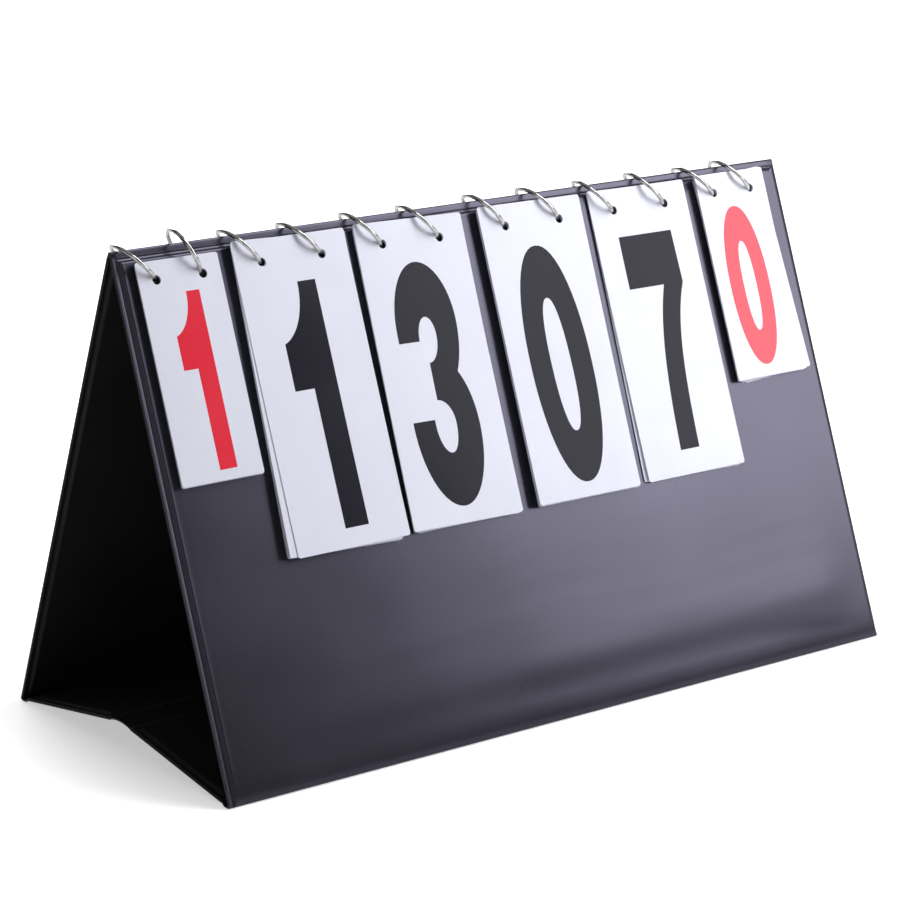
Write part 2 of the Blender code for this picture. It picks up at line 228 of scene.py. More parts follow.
def tube(path: np.ndarray, side: np.ndarray, other: np.ndarray, radii: np.ndarray, sides: int) -> Shell:
    """A closed loop of round wire.

    At each point of the path the wire's circle is radius times (side cos v + other sin v), with v
    running once round in even steps.

    Args:
        path: Points of the loop, the first not repeated, shaped (n, 3).
        side: Unit vectors square to the path, shaped (n, 3).
        other: Unit vectors square to both, shaped (n, 3).
        radii: The wire's radius at each point.
        sides: Number of points round the wire.
    Returns:
        The points and the four-sided faces.
    """
    turn = 2 * np.pi * np.arange(sides) / sides
    offsets = side[:, None] * np.cos(turn)[None, :, None] + other[:, None] * np.sin(turn)[None, :, None]
    points = (path[:, None] + radii[:, None, None] * offsets).reshape(-1, 3)
    number = np.arange(len(path) * sides).reshape(len(path), sides)
    onward, beside = np.roll(number, -1, 0), np.roll(number, -1, 1)
    both = np.roll(onward, -1, 1)
    return points, np.stack([number, onward, both, beside], -1).reshape(-1, 4)


def add_object(name: str, data: bpy.types.ID) -> bpy.types.Object:
    """Makes an object of its data at the origin and links it to the scene."""
    made = bpy.data.objects.new(name, data)
    bpy.context.scene.collection.objects.link(made)
    return made


def add_piece(
    name: str, points: np.ndarray, faces: np.ndarray, material: Material, sharp: float = 40.0,
    rim: np.ndarray | None = None,
) -> bpy.types.Object:
    """Makes an object at the origin from points and faces in the row frame.

    Args:
        name: The piece's name.
        points: Its points in metres.
        faces: Its four-sided faces.
        material: Its finish.
        sharp: Edges that turn by more than this many degrees stay crisp.
        rim: A value from 0 to 1 for each point, 1 along a welded rim, where a paler colour is painted that is
            partly edge wear and partly a painted highlight.
    Returns:
        The new object.
    """
    mesh = bpy.data.meshes.new(name)
    mesh.from_pydata(points.tolist(), [], outward(points, faces).tolist())
    mesh.materials.append(material)
    mesh.polygons.foreach_set("use_smooth", np.ones(len(faces), bool))
    mesh.set_sharp_from_angle(angle=math.radians(sharp))
    if rim is not None:
        attribute = mesh.attributes.new("rim", "FLOAT", "POINT")
        attribute.data.foreach_set("value", rim.astype(np.float32))
    mesh.update()
    return add_object(name, mesh)


def seat(piece: bpy.types.Object, body: str, slot: str | None, *nodes: str) -> None:
    """Sets a piece on its CAD body.

    Args:
        piece: The piece.
        body: The body that it moves with.
        slot: Its material slot, or None for print that stands for no node; not used.
        nodes: The CAD nodes that it takes the place of.
    """
    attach(piece, body)
    if nodes:
        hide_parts(*nodes)
    LOG.info("%s rides on %s, %d faces", piece.name, body, len(piece.data.polygons))


# Finishes


class Slot(Enum):
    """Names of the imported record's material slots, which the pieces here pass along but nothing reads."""

    COVER = "cover_vinyl"
    LINING = "lining_vinyl"
    CARD = "card_plastic"
    RING = "ring_metal"


Tree = bpy.types.NodeTree
Socket = bpy.types.NodeSocket
Inputs = bpy.types.NodeInputs
Outputs = bpy.types.NodeOutputs


def feed(tree: Tree, socket: Socket, value: float | Color | Socket) -> None:
    """Links a socket to another, or sets a constant on it; a colour gets full alpha."""
    if isinstance(value, Socket):
        tree.links.new(value, socket)
    else:
        socket.default_value = (*value, 1.0) if socket.type == "RGBA" else value


def add_node(
    tree: Tree, kind: str, inputs: dict[str | int, float | Color | Socket], **settings: str | Tree
) -> Outputs:
    """Adds a shader node.

    Args:
        tree: The node tree.
        kind: The node's type without the words ShaderNode.
        inputs: What each input is fed, by the input's name or number.
        settings: Properties of the node itself, which are set first.
    Returns:
        The node's outputs.
    """
    node = tree.nodes.new(f"ShaderNode{kind}")
    for label, setting in settings.items():
        setattr(node, label, setting)
    for label, value in inputs.items():
        feed(tree, node.inputs[label], value)
    return node.outputs


def new_group(
    name: str, inputs: dict[str, float], outputs: list[str]
) -> tuple[Tree, Outputs, Inputs, Socket]:
    """A shader node group with number inputs and outputs, and an Object coordinate ready inside it.

    Args:
        name: The group's name.
        inputs: Each input's name and its value when nothing is set.
        outputs: The names of the outputs.
    Returns:
        The node tree, the sockets that come in, those that go out and the Object coordinate socket.
    """
    tree = bpy.data.node_groups.new(name, "ShaderNodeTree")
    for label, value in inputs.items():
        socket = tree.interface.new_socket(label, in_out="INPUT", socket_type="NodeSocketFloat")
        socket.default_value = value
    for label in outputs:
        tree.interface.new_socket(label, in_out="OUTPUT", socket_type="NodeSocketFloat")
    entry, leave = tree.nodes.new("NodeGroupInput"), tree.nodes.new("NodeGroupOutput")
    return tree, entry.outputs, leave.inputs, add_node(tree, "TexCoord", {})["Object"]


def noise_node(
    tree: Tree, place: Socket, scale: float | Socket, detail: float, roughness: float = 0.5
) -> Socket:
    """A noise texture on a coordinate. Returns its value socket."""
    inputs = {"Vector": place, "Scale": scale, "Detail": detail, "Roughness": roughness}
    return add_node(tree, "TexNoise", inputs)["Fac"]


def math_node(tree: Tree, operation: str, first: float | Socket, second: float | Socket) -> Socket:
    """A Math node on two numbers or sockets. Returns its value socket."""
    return add_node(tree, "Math", {0: first, 1: second}, operation=operation)[0]


def range_node(tree: Tree, value: Socket, source: Span, target: Span = (0.0, 1.0)) -> Socket:
    """A Map Range node from the source span to the target span, smooth between. Returns its result."""
    ends = dict(zip(("From Min", "From Max", "To Min", "To Max"), (*source, *target)))
    return add_node(tree, "MapRange", {"Value": value, **ends}, interpolation_type="SMOOTHSTEP")["Result"]


def mix_colors(tree: Tree, share: Socket, first: Color | Socket, second: Color | Socket) -> Socket:
    """A colour that goes from first to second with share. Returns its socket."""
    return add_node(tree, "Mix", {"Factor": share, 6: first, 7: second}, data_type="RGBA")[2]


class SharedEffects:
    """Node groups that more than one finish places."""

    def __init__(self) -> None:
        """Builds the groups once."""
        self.grain = self.build_grain()
        self.handling = self.build_handling_and_rim_sheen()

    def build_grain(self) -> Tree:
        """Pressed pebble grain: cell distance of a Voronoi pattern, broken up by a finer noise."""
        tree, entry, leave, place = new_group("pressed_grain", {"Scale": 1500.0}, ["Height"])
        scale = entry["Scale"]
        inputs = {"Vector": place, "Scale": scale, "Smoothness": 0.6}
        cells = add_node(tree, "TexVoronoi", inputs, feature="SMOOTH_F1")["Distance"]
        fine = noise_node(tree, place, math_node(tree, "MULTIPLY", scale, 2.3), 2.0)
        height = math_node(tree, "ADD", cells, math_node(tree, "MULTIPLY", fine, 0.35))
        feed(tree, leave["Height"], height)
        return tree

    def build_handling_and_rim_sheen(self) -> Tree:
        """Traces of use: broad smudges, fine scuffs and sparse specks of dust; and the weld rim, whose paler
        colour is partly edge wear and partly a painted highlight.
        """
        tree, entry, leave, place = new_group(
            "handling_traces_and_rim_sheen", {"Smudge Scale": 18.0}, ["Smudge", "Scuff", "Speck", "Rim Wear And Sheen"]
        )
        smudge = noise_node(tree, place, entry["Smudge Scale"], 4.0, 0.55)
        inputs = {"Vector": place, "Scale": (1.0, 6.0, 6.0), "Rotation": (0.3, 0.2, 0.5)}
        scratches = noise_node(tree, add_node(tree, "Mapping", inputs)[0], 60.0, 6.0, 0.7)
        rim = add_node(tree, "Attribute", {}, attribute_name="rim")["Fac"]
        for label, trace in (
            ("Smudge", smudge),
            ("Scuff", range_node(tree, scratches, (0.58, 0.74))),
            ("Speck", range_node(tree, noise_node(tree, place, 900.0, 0.0), (0.78, 0.84))),
            # Rim share: the bead-crest mask times a smudge factor; the paler colour there is partly edge wear
            # and partly a painted highlight
            ("Rim Wear And Sheen", math_node(tree, "MULTIPLY", rim, range_node(tree, smudge, (0.3, 0.65), (0.55, 1.0)))),
        ):
            feed(tree, leave[label], trace)
        return tree


@dataclass(frozen=True)
class Finish:
    """A finish that wanders with the traces of use.

    The colour goes from base to worn while the smudge value rises over the tone span, and the
    roughness from its first to its second number while the smudge value rises from 0.3 to 0.7. The
    rim colour lies in faint scuffs, which are wear, and along welded edges, where it is partly edge
    wear and partly a painted highlight; dust lies in the specks. The relief is the pressed grain, or
    one of the traces where there is no grain.
    """

    name: str
    base: Color
    worn: Color
    smudge_scale: float
    tone_span: Span
    roughness: Span
    relief_depth: float
    relief_strength: float
    grain_scale: float | None = None
    relief_trace: str = "Smudge"
    specular: float = 0.5
    specular_tint: Color = (1.0, 1.0, 1.0)
    metallic: float = 0.0
    rim: Color | None = None
    scuff_share: float = 0.05
    dust: Color | None = None
    dust_share: float = 0.05

    def tone(self, tree: Tree, traces: Outputs) -> Socket:
        """The colour: base and worn, then scuffs, the rim (partly edge wear, partly a painted highlight) and
        dust over them.
        """
        tone = mix_colors(tree, range_node(tree, traces["Smudge"], self.tone_span), self.base, self.worn)
        if self.rim:
            scuffs = math_node(tree, "MULTIPLY", traces["Scuff"], self.scuff_share)
            tone = mix_colors(tree, scuffs, tone, self.rim)
            # Paler rim along the weld bead: partly edge wear, partly a painted highlight
            tone = mix_colors(tree, traces["Rim Wear And Sheen"], tone, self.rim)
        if self.dust:
            specks = math_node(tree, "MULTIPLY", traces["Speck"], self.dust_share)
            tone = mix_colors(tree, specks, tone, self.dust)
        return tone

    def build(self, effects: SharedEffects) -> Material:
        """Builds the material."""
        material = bpy.data.materials.new(self.name)
        material.use_nodes = True
        tree = material.node_tree
        traces = add_node(tree, "Group", {"Smudge Scale": self.smudge_scale}, node_tree=effects.handling)
        relief = traces[self.relief_trace]
        if self.grain_scale:
            relief = add_node(tree, "Group", {"Scale": self.grain_scale}, node_tree=effects.grain)["Height"]
        inputs = {"Distance": self.relief_depth, "Strength": self.relief_strength, "Height": relief}
        for label, value in {
            "Specular IOR Level": self.specular,
            "Specular Tint": self.specular_tint,
            "Metallic": self.metallic,
            "Base Color": self.tone(tree, traces),
            "Roughness": range_node(tree, traces["Smudge"], (0.3, 0.7), self.roughness),
            "Normal": add_node(tree, "Bump", inputs)["Normal"],
        }.items():
            feed(tree, tree.nodes["Principled BSDF"].inputs[label], value)
        return material


# Calendered vinyl with a pressed grain, and a paler weld rim that is partly edge wear and partly a painted
# highlight on the bead's crest
COVER_VINYL = Finish(
    "black_cover_vinyl", base=(0.0112, 0.0107, 0.0140), worn=(0.0145, 0.0137, 0.0185), smudge_scale=14.0,
    tone_span=(0.35, 0.7), roughness=(0.27, 0.30), relief_depth=0.000005, relief_strength=0.5,
    grain_scale=1400.0, specular=0.71, specular_tint=(0.80, 0.75, 1.0), rim=(0.026, 0.026, 0.030),
    dust=(0.16, 0.16, 0.18),
)
# The lining's paler rim is likewise partly edge wear and partly a painted highlight
LINING_VINYL = replace(
    COVER_VINYL, name="black_lining_vinyl", base=(0.006, 0.006, 0.007), worn=(0.008, 0.008, 0.009),
    roughness=(0.60, 0.70), specular=0.30, specular_tint=(1.0, 1.0, 1.0), rim=(0.040, 0.040, 0.040),
)
# Smooth white plastic sheet with a very faint cloudiness
CARD_PLASTIC = Finish(
    "white_card_plastic", base=(0.765, 0.770, 0.845), worn=(0.745, 0.750, 0.825), smudge_scale=22.0,
    tone_span=(0.35, 0.75), roughness=(0.34, 0.44), relief_depth=0.000006, relief_strength=0.3,
    grain_scale=2600.0, specular=0.2, dust=(0.45, 0.45, 0.47), dust_share=0.04,
)
# Screen-printed ink: an even film with a slight orange peel
RED_INK = Finish(
    "red_card_ink", base=(0.80, 0.019, 0.043), worn=(0.82, 0.025, 0.050), smudge_scale=30.0,
    tone_span=(0.3, 0.75), roughness=(0.20, 0.23), relief_depth=0.000004, relief_strength=0.4,
    grain_scale=3200.0, specular=0.30,
)
BLACK_INK = replace(
    RED_INK, name="black_card_ink", base=(0.020, 0.019, 0.027), worn=(0.023, 0.022, 0.030),
    roughness=(0.14, 0.18), specular=0.06,
)
# Bright nickel plate on steel wire, with fine drawing lines and slightly dull patches
RING_NICKEL = Finish(
    "nickel_ring_wire", base=(0.56, 0.545, 0.52), worn=(0.40, 0.385, 0.36), smudge_scale=260.0,
    tone_span=(0.4, 0.7), roughness=(0.05, 0.12), relief_depth=0.000004, relief_strength=0.3,
    relief_trace="Scuff", metallic=1.0,
)
# Pressed grey board with flecks of fibre, sealed inside the vinyl
GREYBOARD = Finish(
    "grey_pressed_board", base=(0.30, 0.28, 0.25), worn=(0.20, 0.19, 0.17), smudge_scale=700.0,
    tone_span=(0.45, 0.65), roughness=(0.85, 0.95), relief_depth=0.00003, relief_strength=0.6,
    specular=0.2,
)


class Finishes:
    """Every finish of the scoreboard, built once."""

    def __init__(self) -> None:
        """Builds the shared groups, then each material."""
        effects = SharedEffects()
        self.cover = COVER_VINYL.build(effects)
        self.lining = LINING_VINYL.build(effects)
        self.card = CARD_PLASTIC.build(effects)
        self.red_ink = RED_INK.build(effects)
        self.black_ink = BLACK_INK.build(effects)
        self.nickel = RING_NICKEL.build(effects)
        self.board = GREYBOARD.build(effects)


# The tent's geometry


@dataclass(frozen=True)
class TentShape:
    """The tent's main sizes, as in the part's source."""

    width: float = 0.380
    panel_slant: float = 0.2395
    ridge_half_angle: float = math.radians(20.87)
    flap_slope: float = math.radians(9.2)
    flap_root_inset: float = 0.0061
    flap_root_height: float = 0.00185
    knee_half_gap: float = 0.0082
    ridge_strip_leg: float = 0.0029
    ridge_strip_radius: float = 0.0005
    foot_strip_height: float = 0.0023
    foot_fillet_radius: float = 0.0008
    foot_flat_length: float = 0.0025
    strip_thickness: float = 0.0008
    knee_web_rise: float = 0.0011
    seat_gap: float = 0.0003

    @property
    def apex(self) -> float:
        """Height of the point where the two panels' middle planes meet."""
        return self.panel_slant * math.cos(self.ridge_half_angle)

    def panel_plane(self, side: int) -> "BoardPlane":
        """The plane of the front panel (side -1) or the back panel (side +1)."""
        sine, cosine = math.sin(self.ridge_half_angle), math.cos(self.ridge_half_angle)
        return BoardPlane((0.0, self.apex), (side * sine, -cosine), (side * cosine, sine))

    def flap_root(self, side: int) -> np.ndarray:
        """(y, z) of a base flap's end beside its hinge."""
        reach = self.panel_slant * math.sin(self.ridge_half_angle) - self.flap_root_inset
        return np.array([side * reach, self.flap_root_height])

    def flap_direction(self, side: int) -> np.ndarray:
        """Unit (y, z) from a flap's hinge to its tip."""
        return np.array([-side * math.cos(self.flap_slope), math.sin(self.flap_slope)])

    @property
    def flap_length(self) -> float:
        """Length of a flap along its slope."""
        return (abs(self.flap_root(1)[0]) - self.knee_half_gap) / math.cos(self.flap_slope)

    def flap_plane(self, side: int) -> "BoardPlane":
        """The plane of a base flap, whose cover faces down."""
        sine, cosine = math.sin(self.flap_slope), math.cos(self.flap_slope)
        return BoardPlane(tuple(self.flap_root(side)), (-side * cosine, sine), (-side * sine, -cosine))


@dataclass(frozen=True)
class BoardPlane:
    """A board's plane in the row frame: x runs along the tent, d down the board and h out of it."""

    origin: Span
    down: Span
    out: Span

    def place(self, x: Grid | float, d: Grid | float, h: Grid | float) -> Grid:
        """Points in the row frame: the origin plus d times down plus h times out, at the given x."""
        x, d, h = np.broadcast_arrays(x, d, h)
        y = self.origin[0] + d * self.down[0] + h * self.out[0]
        z = self.origin[1] + d * self.down[1] + h * self.out[1]
        return np.stack([x, y, z], -1)


@dataclass(frozen=True)
class Hanging:
    """Where a ring crosses what hangs on it, as in the part's source."""

    ring_radius: float = 0.0124
    centre_drop: float = 0.0019
    half_angle: float = math.radians(20.87)

    def wire_distance(self, offset: float) -> float:
        """Distance down a panel at which a ring crosses a height offset over its middle plane.

        The ring is a circle whose centre lies a drop below the apex, so the distance is the centre's
        own distance plus the root of the radius squared less the height over the centre squared.
        """
        above = offset + self.centre_drop * math.sin(self.half_angle)
        return self.centre_drop * math.cos(self.half_angle) + np.sqrt(self.ring_radius**2 - above**2)


# Boards


@dataclass(frozen=True)
class WeldProfile:
    """Height of a skin over the board's middle plane, by distance in from the board's edge.

    From the edge inwards: a rolled bead, the pressed weld groove, a shoulder with a raised crest, a
    shallow dip behind it and the field. At a foot the skin runs out smoothly over the folded strip.
    The paler rim colour follows the bead's crest: partly edge wear and partly a painted highlight
    where the crest catches the light. Where the bead was pressed flat, the skin eases up to the field.
    """

    reach: tuple[float, ...] = (
        0.0, 0.00012, 0.0003, 0.00055, 0.0008, 0.00105, 0.0013, 0.0016, 0.0020, 0.0024, 0.0028, 0.0031,
        0.0034, 0.0037, 0.0040, 0.0043, 0.0047, 0.0052, 0.0060, 0.0075,
    )
    height: tuple[float, ...] = (
        0.00034, 0.00058, 0.00071, 0.00076, 0.00070, 0.00056, 0.00043, 0.00036, 0.00035, 0.00037,
        0.00050, 0.00074, 0.00108, 0.00136, 0.00149, 0.00154, 0.00153, 0.00150, 0.00149, 0.00151,
    )
    flange: float = 0.0024
    thickness: float = 0.0004
    inner_floor: float = 0.00015
    foot_reach: tuple[float, ...] = (
        0.0, 0.0002, 0.0005, 0.0009, 0.0014, 0.0019, 0.0024, 0.0029, 0.0035, 0.0042, 0.0050, 0.0062,
        0.0085, 0.0125,
    )
    foot_height: tuple[float, ...] = (
        0.00043, 0.00052, 0.00062, 0.00073, 0.00085, 0.00095, 0.00104, 0.00111, 0.00118, 0.00125, 0.00131,
        0.00137, 0.00145, 0.00151,
    )
    bead_crest: float = 0.0005
    bead_spread: float = 0.00045
    flat_ease: float = 0.0036

    def at(self, distance: Grid) -> Grid:
        """Height read off the profile, straight between its points."""
        return np.interp(distance, self.reach, self.height)

    def pressed_flat(self, distance: Grid) -> Grid:
        """Height where the weld was pressed flat: the edge's height rises to the field by a cubic ease."""
        low, high = self.height[0], self.height[-1]
        share = 1.0 - np.clip(distance / self.flat_ease, 0.0, 1.0)
        return low + (high - low) * (1.0 - share**3)

    def at_foot(self, distance: Grid) -> Grid:
        """Height read off the foot's run-out, straight between its points."""
        return np.interp(distance, self.foot_reach, self.foot_height)

    def rim(self, distance: Grid) -> Grid:
        """Share of the paler rim colour, partly edge wear and partly a painted highlight: one on the bead's
        crest, falling to nothing at the groove by a bell curve.
        """
        return np.exp(-(((distance - self.bead_crest) / self.bead_spread) ** 2))


@dataclass
class PaddedBoard:
    """One padded board: a cover and a lining welded round the edge over a stiff core."""

    name: str
    body: str
    plane: BoardPlane
    low: float
    high: float
    low_flange: float
    width: float = 0.380
    corner_radius: float = 0.0003
    holes: list[Hole] = field(default_factory=list)
    hole_radius: float = 0.0025
    wave: float = 0.0
    slack: float = 0.0
    seed: float = 0.0
    over_foot: float = 0.0
    flat_right: bool = False
    flat_corner_ease: float = 0.0008
    slack_start: float = 0.0045
    slack_ease: float = 0.03
    strip_half: float = 0.0004
    strip_ease: float = 0.0004
    step_x: float = 0.005
    step_d: float = 0.0030
    lining_shift: float = 0.05
    profile: WeldProfile = WeldProfile()

    @property
    def end(self) -> float:
        """How far down the skins run."""
        return self.high + self.over_foot

    def edge_distance(self, x: Grid, d: Grid) -> Grid:
        """Distance in from the nearest edge, in the profile's own measure.

        Along the low edge the flange is narrower, so the part of it that belongs to the flange is
        stretched to the profile's flange width.
        """
        from_low = d - self.low
        stretched = np.where(
            from_low < self.low_flange,
            from_low * self.profile.flange / self.low_flange,
            from_low + self.profile.flange - self.low_flange,
        )
        sideways = self.width / 2 - np.abs(x)
        below = self.high - d if self.over_foot == 0.0 else np.full_like(d, 1.0)
        return np.minimum(np.minimum(sideways, below), stretched)

    def field_wave(self, x: Grid, d: Grid) -> Grid:
        """Slackness of the skin over its core, as a height between about -1 and 1.

        A sum of four slow sine waves along x and d, two of them bent by a slower one along x.
        """
        s = self.seed
        bend = np.sin(2 * np.pi * (x / 0.31 + 0.11 + s))
        return (
            0.34 * np.sin(2 * np.pi * (d / 0.083 + 0.10 * bend + s))
            + 0.26 * np.sin(2 * np.pi * (x / 0.147 + d / 0.21 + 0.35 * s))
            + 0.22 * np.sin(2 * np.pi * (d / 0.047 + 0.22 * bend - x / 0.42))
            + 0.18 * np.sin(2 * np.pi * (x / 0.071 - d / 0.118 + 0.7 * s))
        )

    def foot_slack(self, x: Grid, d: Grid) -> Grid:
        """Fullness of the skin below the cards, as a height between about -0.1 and 0.9.

        The skin swells slowly down to a crest and falls off quickly below it. The crest wanders a
        little and drops towards the right end, and the swelling fades out to the left. A broad ripple
        and a fine one lie over the lower part of the board.
        """
        s = self.seed
        wander = np.sin(2 * np.pi * (x / 0.34 + s)) + 0.6 * np.sin(2 * np.pi * (x / 0.127 + 2.3 * s))
        crest = 0.2150 + 0.0010 * wander + 0.010 * smoothstep((x - 0.10) / 0.09)
        swell = 0.75 * (smoothstep((d - 0.178) / 0.036) - smoothstep((d - crest) / 0.0125))
        broad = 0.110 * np.sin(2 * np.pi * ((d - 0.157) / 0.038 + 0.10 * wander - 0.21))
        fine = 0.020 * np.sin(2 * np.pi * (d / 0.0117 - 0.3 * wander + x / 0.31))
        ripple = broad * smoothstep((d - 0.182) / 0.02) + fine
        share = 0.15 + 0.85 * smoothstep((x + 0.065) / 0.06)
        return share * swell + ripple * smoothstep((d - 0.140) / 0.03)

    def lines(self) -> tuple[np.ndarray, np.ndarray]:
        """Grid lines along x and d: the weld profile at every edge, and close lines at each hole."""
        reach, flange, half = np.array(self.profile.reach), self.profile.flange, self.width / 2
        near = np.where(reach < flange, reach * self.low_flange / flange, reach + self.low_flange - flange)
        foot = np.array(self.profile.foot_reach) if self.over_foot else reach
        knots_x = [reach - half, half - reach]
        knots_d = [self.low + near, self.end - foot]
        for hole_x, hole_d in self.holes:
            knots_x.append(hole_x + self.hole_radius * HOLE_KNOTS)
            knots_d.append(hole_d + self.hole_radius * HOLE_KNOTS)
        return (
            graded_lines(-half, half, self.step_x, *knots_x),
            graded_lines(self.low, self.end, self.step_d, *knots_d),
        )

    def surfaces(self, x: Grid, d: Grid, facing: int) -> tuple[Grid, Grid]:
        """Heights of a skin's outer and inner surface over the board's middle plane.

        The outer surface is the weld profile, plus the waves and the slackness that set in away from
        the edges. The inner one lies the thickness below it, and never under the inner floor. Over a
        foot the outer surface is held down to the run-out, and both stay above the strip.

        Args:
            x: Places along the tent.
            d: Places down the board.
            facing: +1 for the outer skin and -1 for the inner one.
        Returns:
            The outer and the inner heights.
        """
        profile = self.profile
        edge = self.edge_distance(x, d)
        outer = profile.at(edge)
        if self.flat_right and facing > 0:
            sideways = self.width / 2 - x
            from_ridge = (d - self.low) * profile.flange / self.low_flange
            share = smoothstep((from_ridge - sideways) / self.flat_corner_ease)
            outer = outer + share * (profile.pressed_flat(sideways) - profile.at(sideways))
        loose = smoothstep((edge - self.slack_start) / self.slack_ease)
        loose = loose * smoothstep((self.end - d) / self.slack_ease)
        outer = outer + loose * self.wave * self.field_wave(x, d + self.lining_shift * (1 - facing))
        outer = outer + loose * self.slack * self.foot_slack(facing * x, d)
        inner = np.maximum(outer - profile.thickness, profile.inner_floor)
        if self.over_foot:
            from_foot = self.end - d
            run_out = np.minimum(outer, profile.at_foot(from_foot))
            outer = np.where(from_foot < profile.foot_reach[-1], run_out, outer)
            over_strip = smoothstep((d - self.high + self.strip_ease) / self.strip_ease)
            floor = profile.inner_floor + (self.strip_half + HAIR - profile.inner_floor) * over_strip
            outer = np.maximum(outer, floor + 2 * HAIR)
            inner = np.clip(outer - profile.thickness, floor, outer - HAIR)
        return outer, inner

    def skin(self, facing: int) -> tuple[np.ndarray, np.ndarray, np.ndarray]:
        """One skin as a closed shell.

        Args:
            facing: +1 for the outer side of the board and -1 for the inner side.
        Returns:
            The points, the faces and each point's share of the rim.
        """
        lines_x, lines_d = self.lines()
        x, d = np.meshgrid(lines_x, lines_d, indexing="ij")
        # Share of the paler rim colour on the bead's crest: partly edge wear, partly a painted highlight
        rim = self.profile.rim(self.edge_distance(x, d))
        outer, inner = self.surfaces(x, d, facing)
        keep = cells_outside_holes(lines_x, lines_d, self.holes, self.hole_radius)
        box = (-self.width / 2, self.width / 2, self.low, self.end)
        x, d = round_corners(x, d, box, self.corner_radius)
        x, d = bend_round_holes(x, d, self.holes, self.hole_radius)
        top, bottom = (self.plane.place(x, d, facing * height) for height in (outer, inner))
        points, faces, source = closed_shell(top, bottom, keep)
        return points, faces, rim.ravel()[source]

    def build(self, finishes: Finishes) -> None:
        """Builds the cover and the lining, and dresses the core that shows nowhere."""
        for label, facing, finish, slot in (
            ("cover", 1, finishes.cover, Slot.COVER),
            ("lining", -1, finishes.lining, Slot.LINING),
        ):
            points, faces, rim = self.skin(facing)
            piece = add_piece(f"{self.name}_{label}_skin", points, faces, finish, 50.0, rim)
            seat(piece, self.body, slot.value, f"{self.name}_{label}")
        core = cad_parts[f"{self.name}_board"]
        core.data.materials.clear()
        core.data.materials.append(finishes.board)


# Folded strips


def arc_points(centre: np.ndarray, radius: float, start: float, end: float, count: int) -> np.ndarray:
    """Points (y, z) of an arc: the centre plus radius times (cos, sin) of evenly spaced angles."""
    angle = np.linspace(start, end, count)
    return centre + radius * np.stack([np.cos(angle), np.sin(angle)], -1)


def meeting_point(
    point_a: np.ndarray, along_a: np.ndarray, point_b: np.ndarray, along_b: np.ndarray
) -> np.ndarray:
    """Where two lines in the (y, z) plane cross, by the cross product of their directions."""
    across = np.array([-along_b[1], along_b[0]])
    return point_a + along_a * ((point_b - point_a) @ across) / (along_a @ across)


@dataclass
class FoldedStrip:
    """A strip of vinyl as long as the tent, bent along a path of (y, z) points."""

    name: str
    path: np.ndarray
    thickness: float
    width: float
    crown: float = 0.0
    lip: float = 0.0
    end_round: float = 0.0004
    step: float = 0.006
    # Share of the paler rim colour over the whole strip: partly edge wear, partly a painted highlight
    rim_share: float = 0.35

    def shell(self) -> Shell:
        """The strip as a closed shell.

        Each point of the path is moved half the thickness to either side of the path's own normal.
        The outer side swells by crown times one less the square of the share from the middle, and
        both ends along x are drawn in to a rounded edge.
        """
        along = np.gradient(self.path, axis=0)
        along /= np.linalg.norm(along, axis=1)[:, None]
        normal = np.stack([-along[:, 1], along[:, 0]], -1)
        share = np.linspace(-1.0, 1.0, len(self.path))
        ends = self.end_round * np.array([0.0, 0.12, 0.4, 0.75, 1.0])
        left, right = -self.width / 2, self.width / 2 + self.lip
        lines_x = graded_lines(left, right, self.step, left + ends, right - ends)
        inset = np.minimum(lines_x - left, right - lines_x)
        roundness = np.sqrt(1 - (1 - np.clip(inset / self.end_round, 0.06, 1.0)) ** 2)[:, None]
        rise = self.thickness / 2 * roundness + self.crown * (1 - share**2)[None, :] * roundness
        fall = self.thickness / 2 * roundness
        x = np.broadcast_to(lines_x[:, None], rise.shape)
        sides = []
        for height in (rise, -fall):
            y = self.path[None, :, 0] + height * normal[None, :, 0]
            z = self.path[None, :, 1] + height * normal[None, :, 1]
            sides.append(np.stack([x, y, z], -1))
        return closed_shell(*sides)[:2]

    def build(self, material: Material) -> bpy.types.Object:
        """Makes the strip's object."""
        points, faces = self.shell()
        return add_piece(self.name, points, faces, material, 60.0, np.full(len(points), self.rim_share))


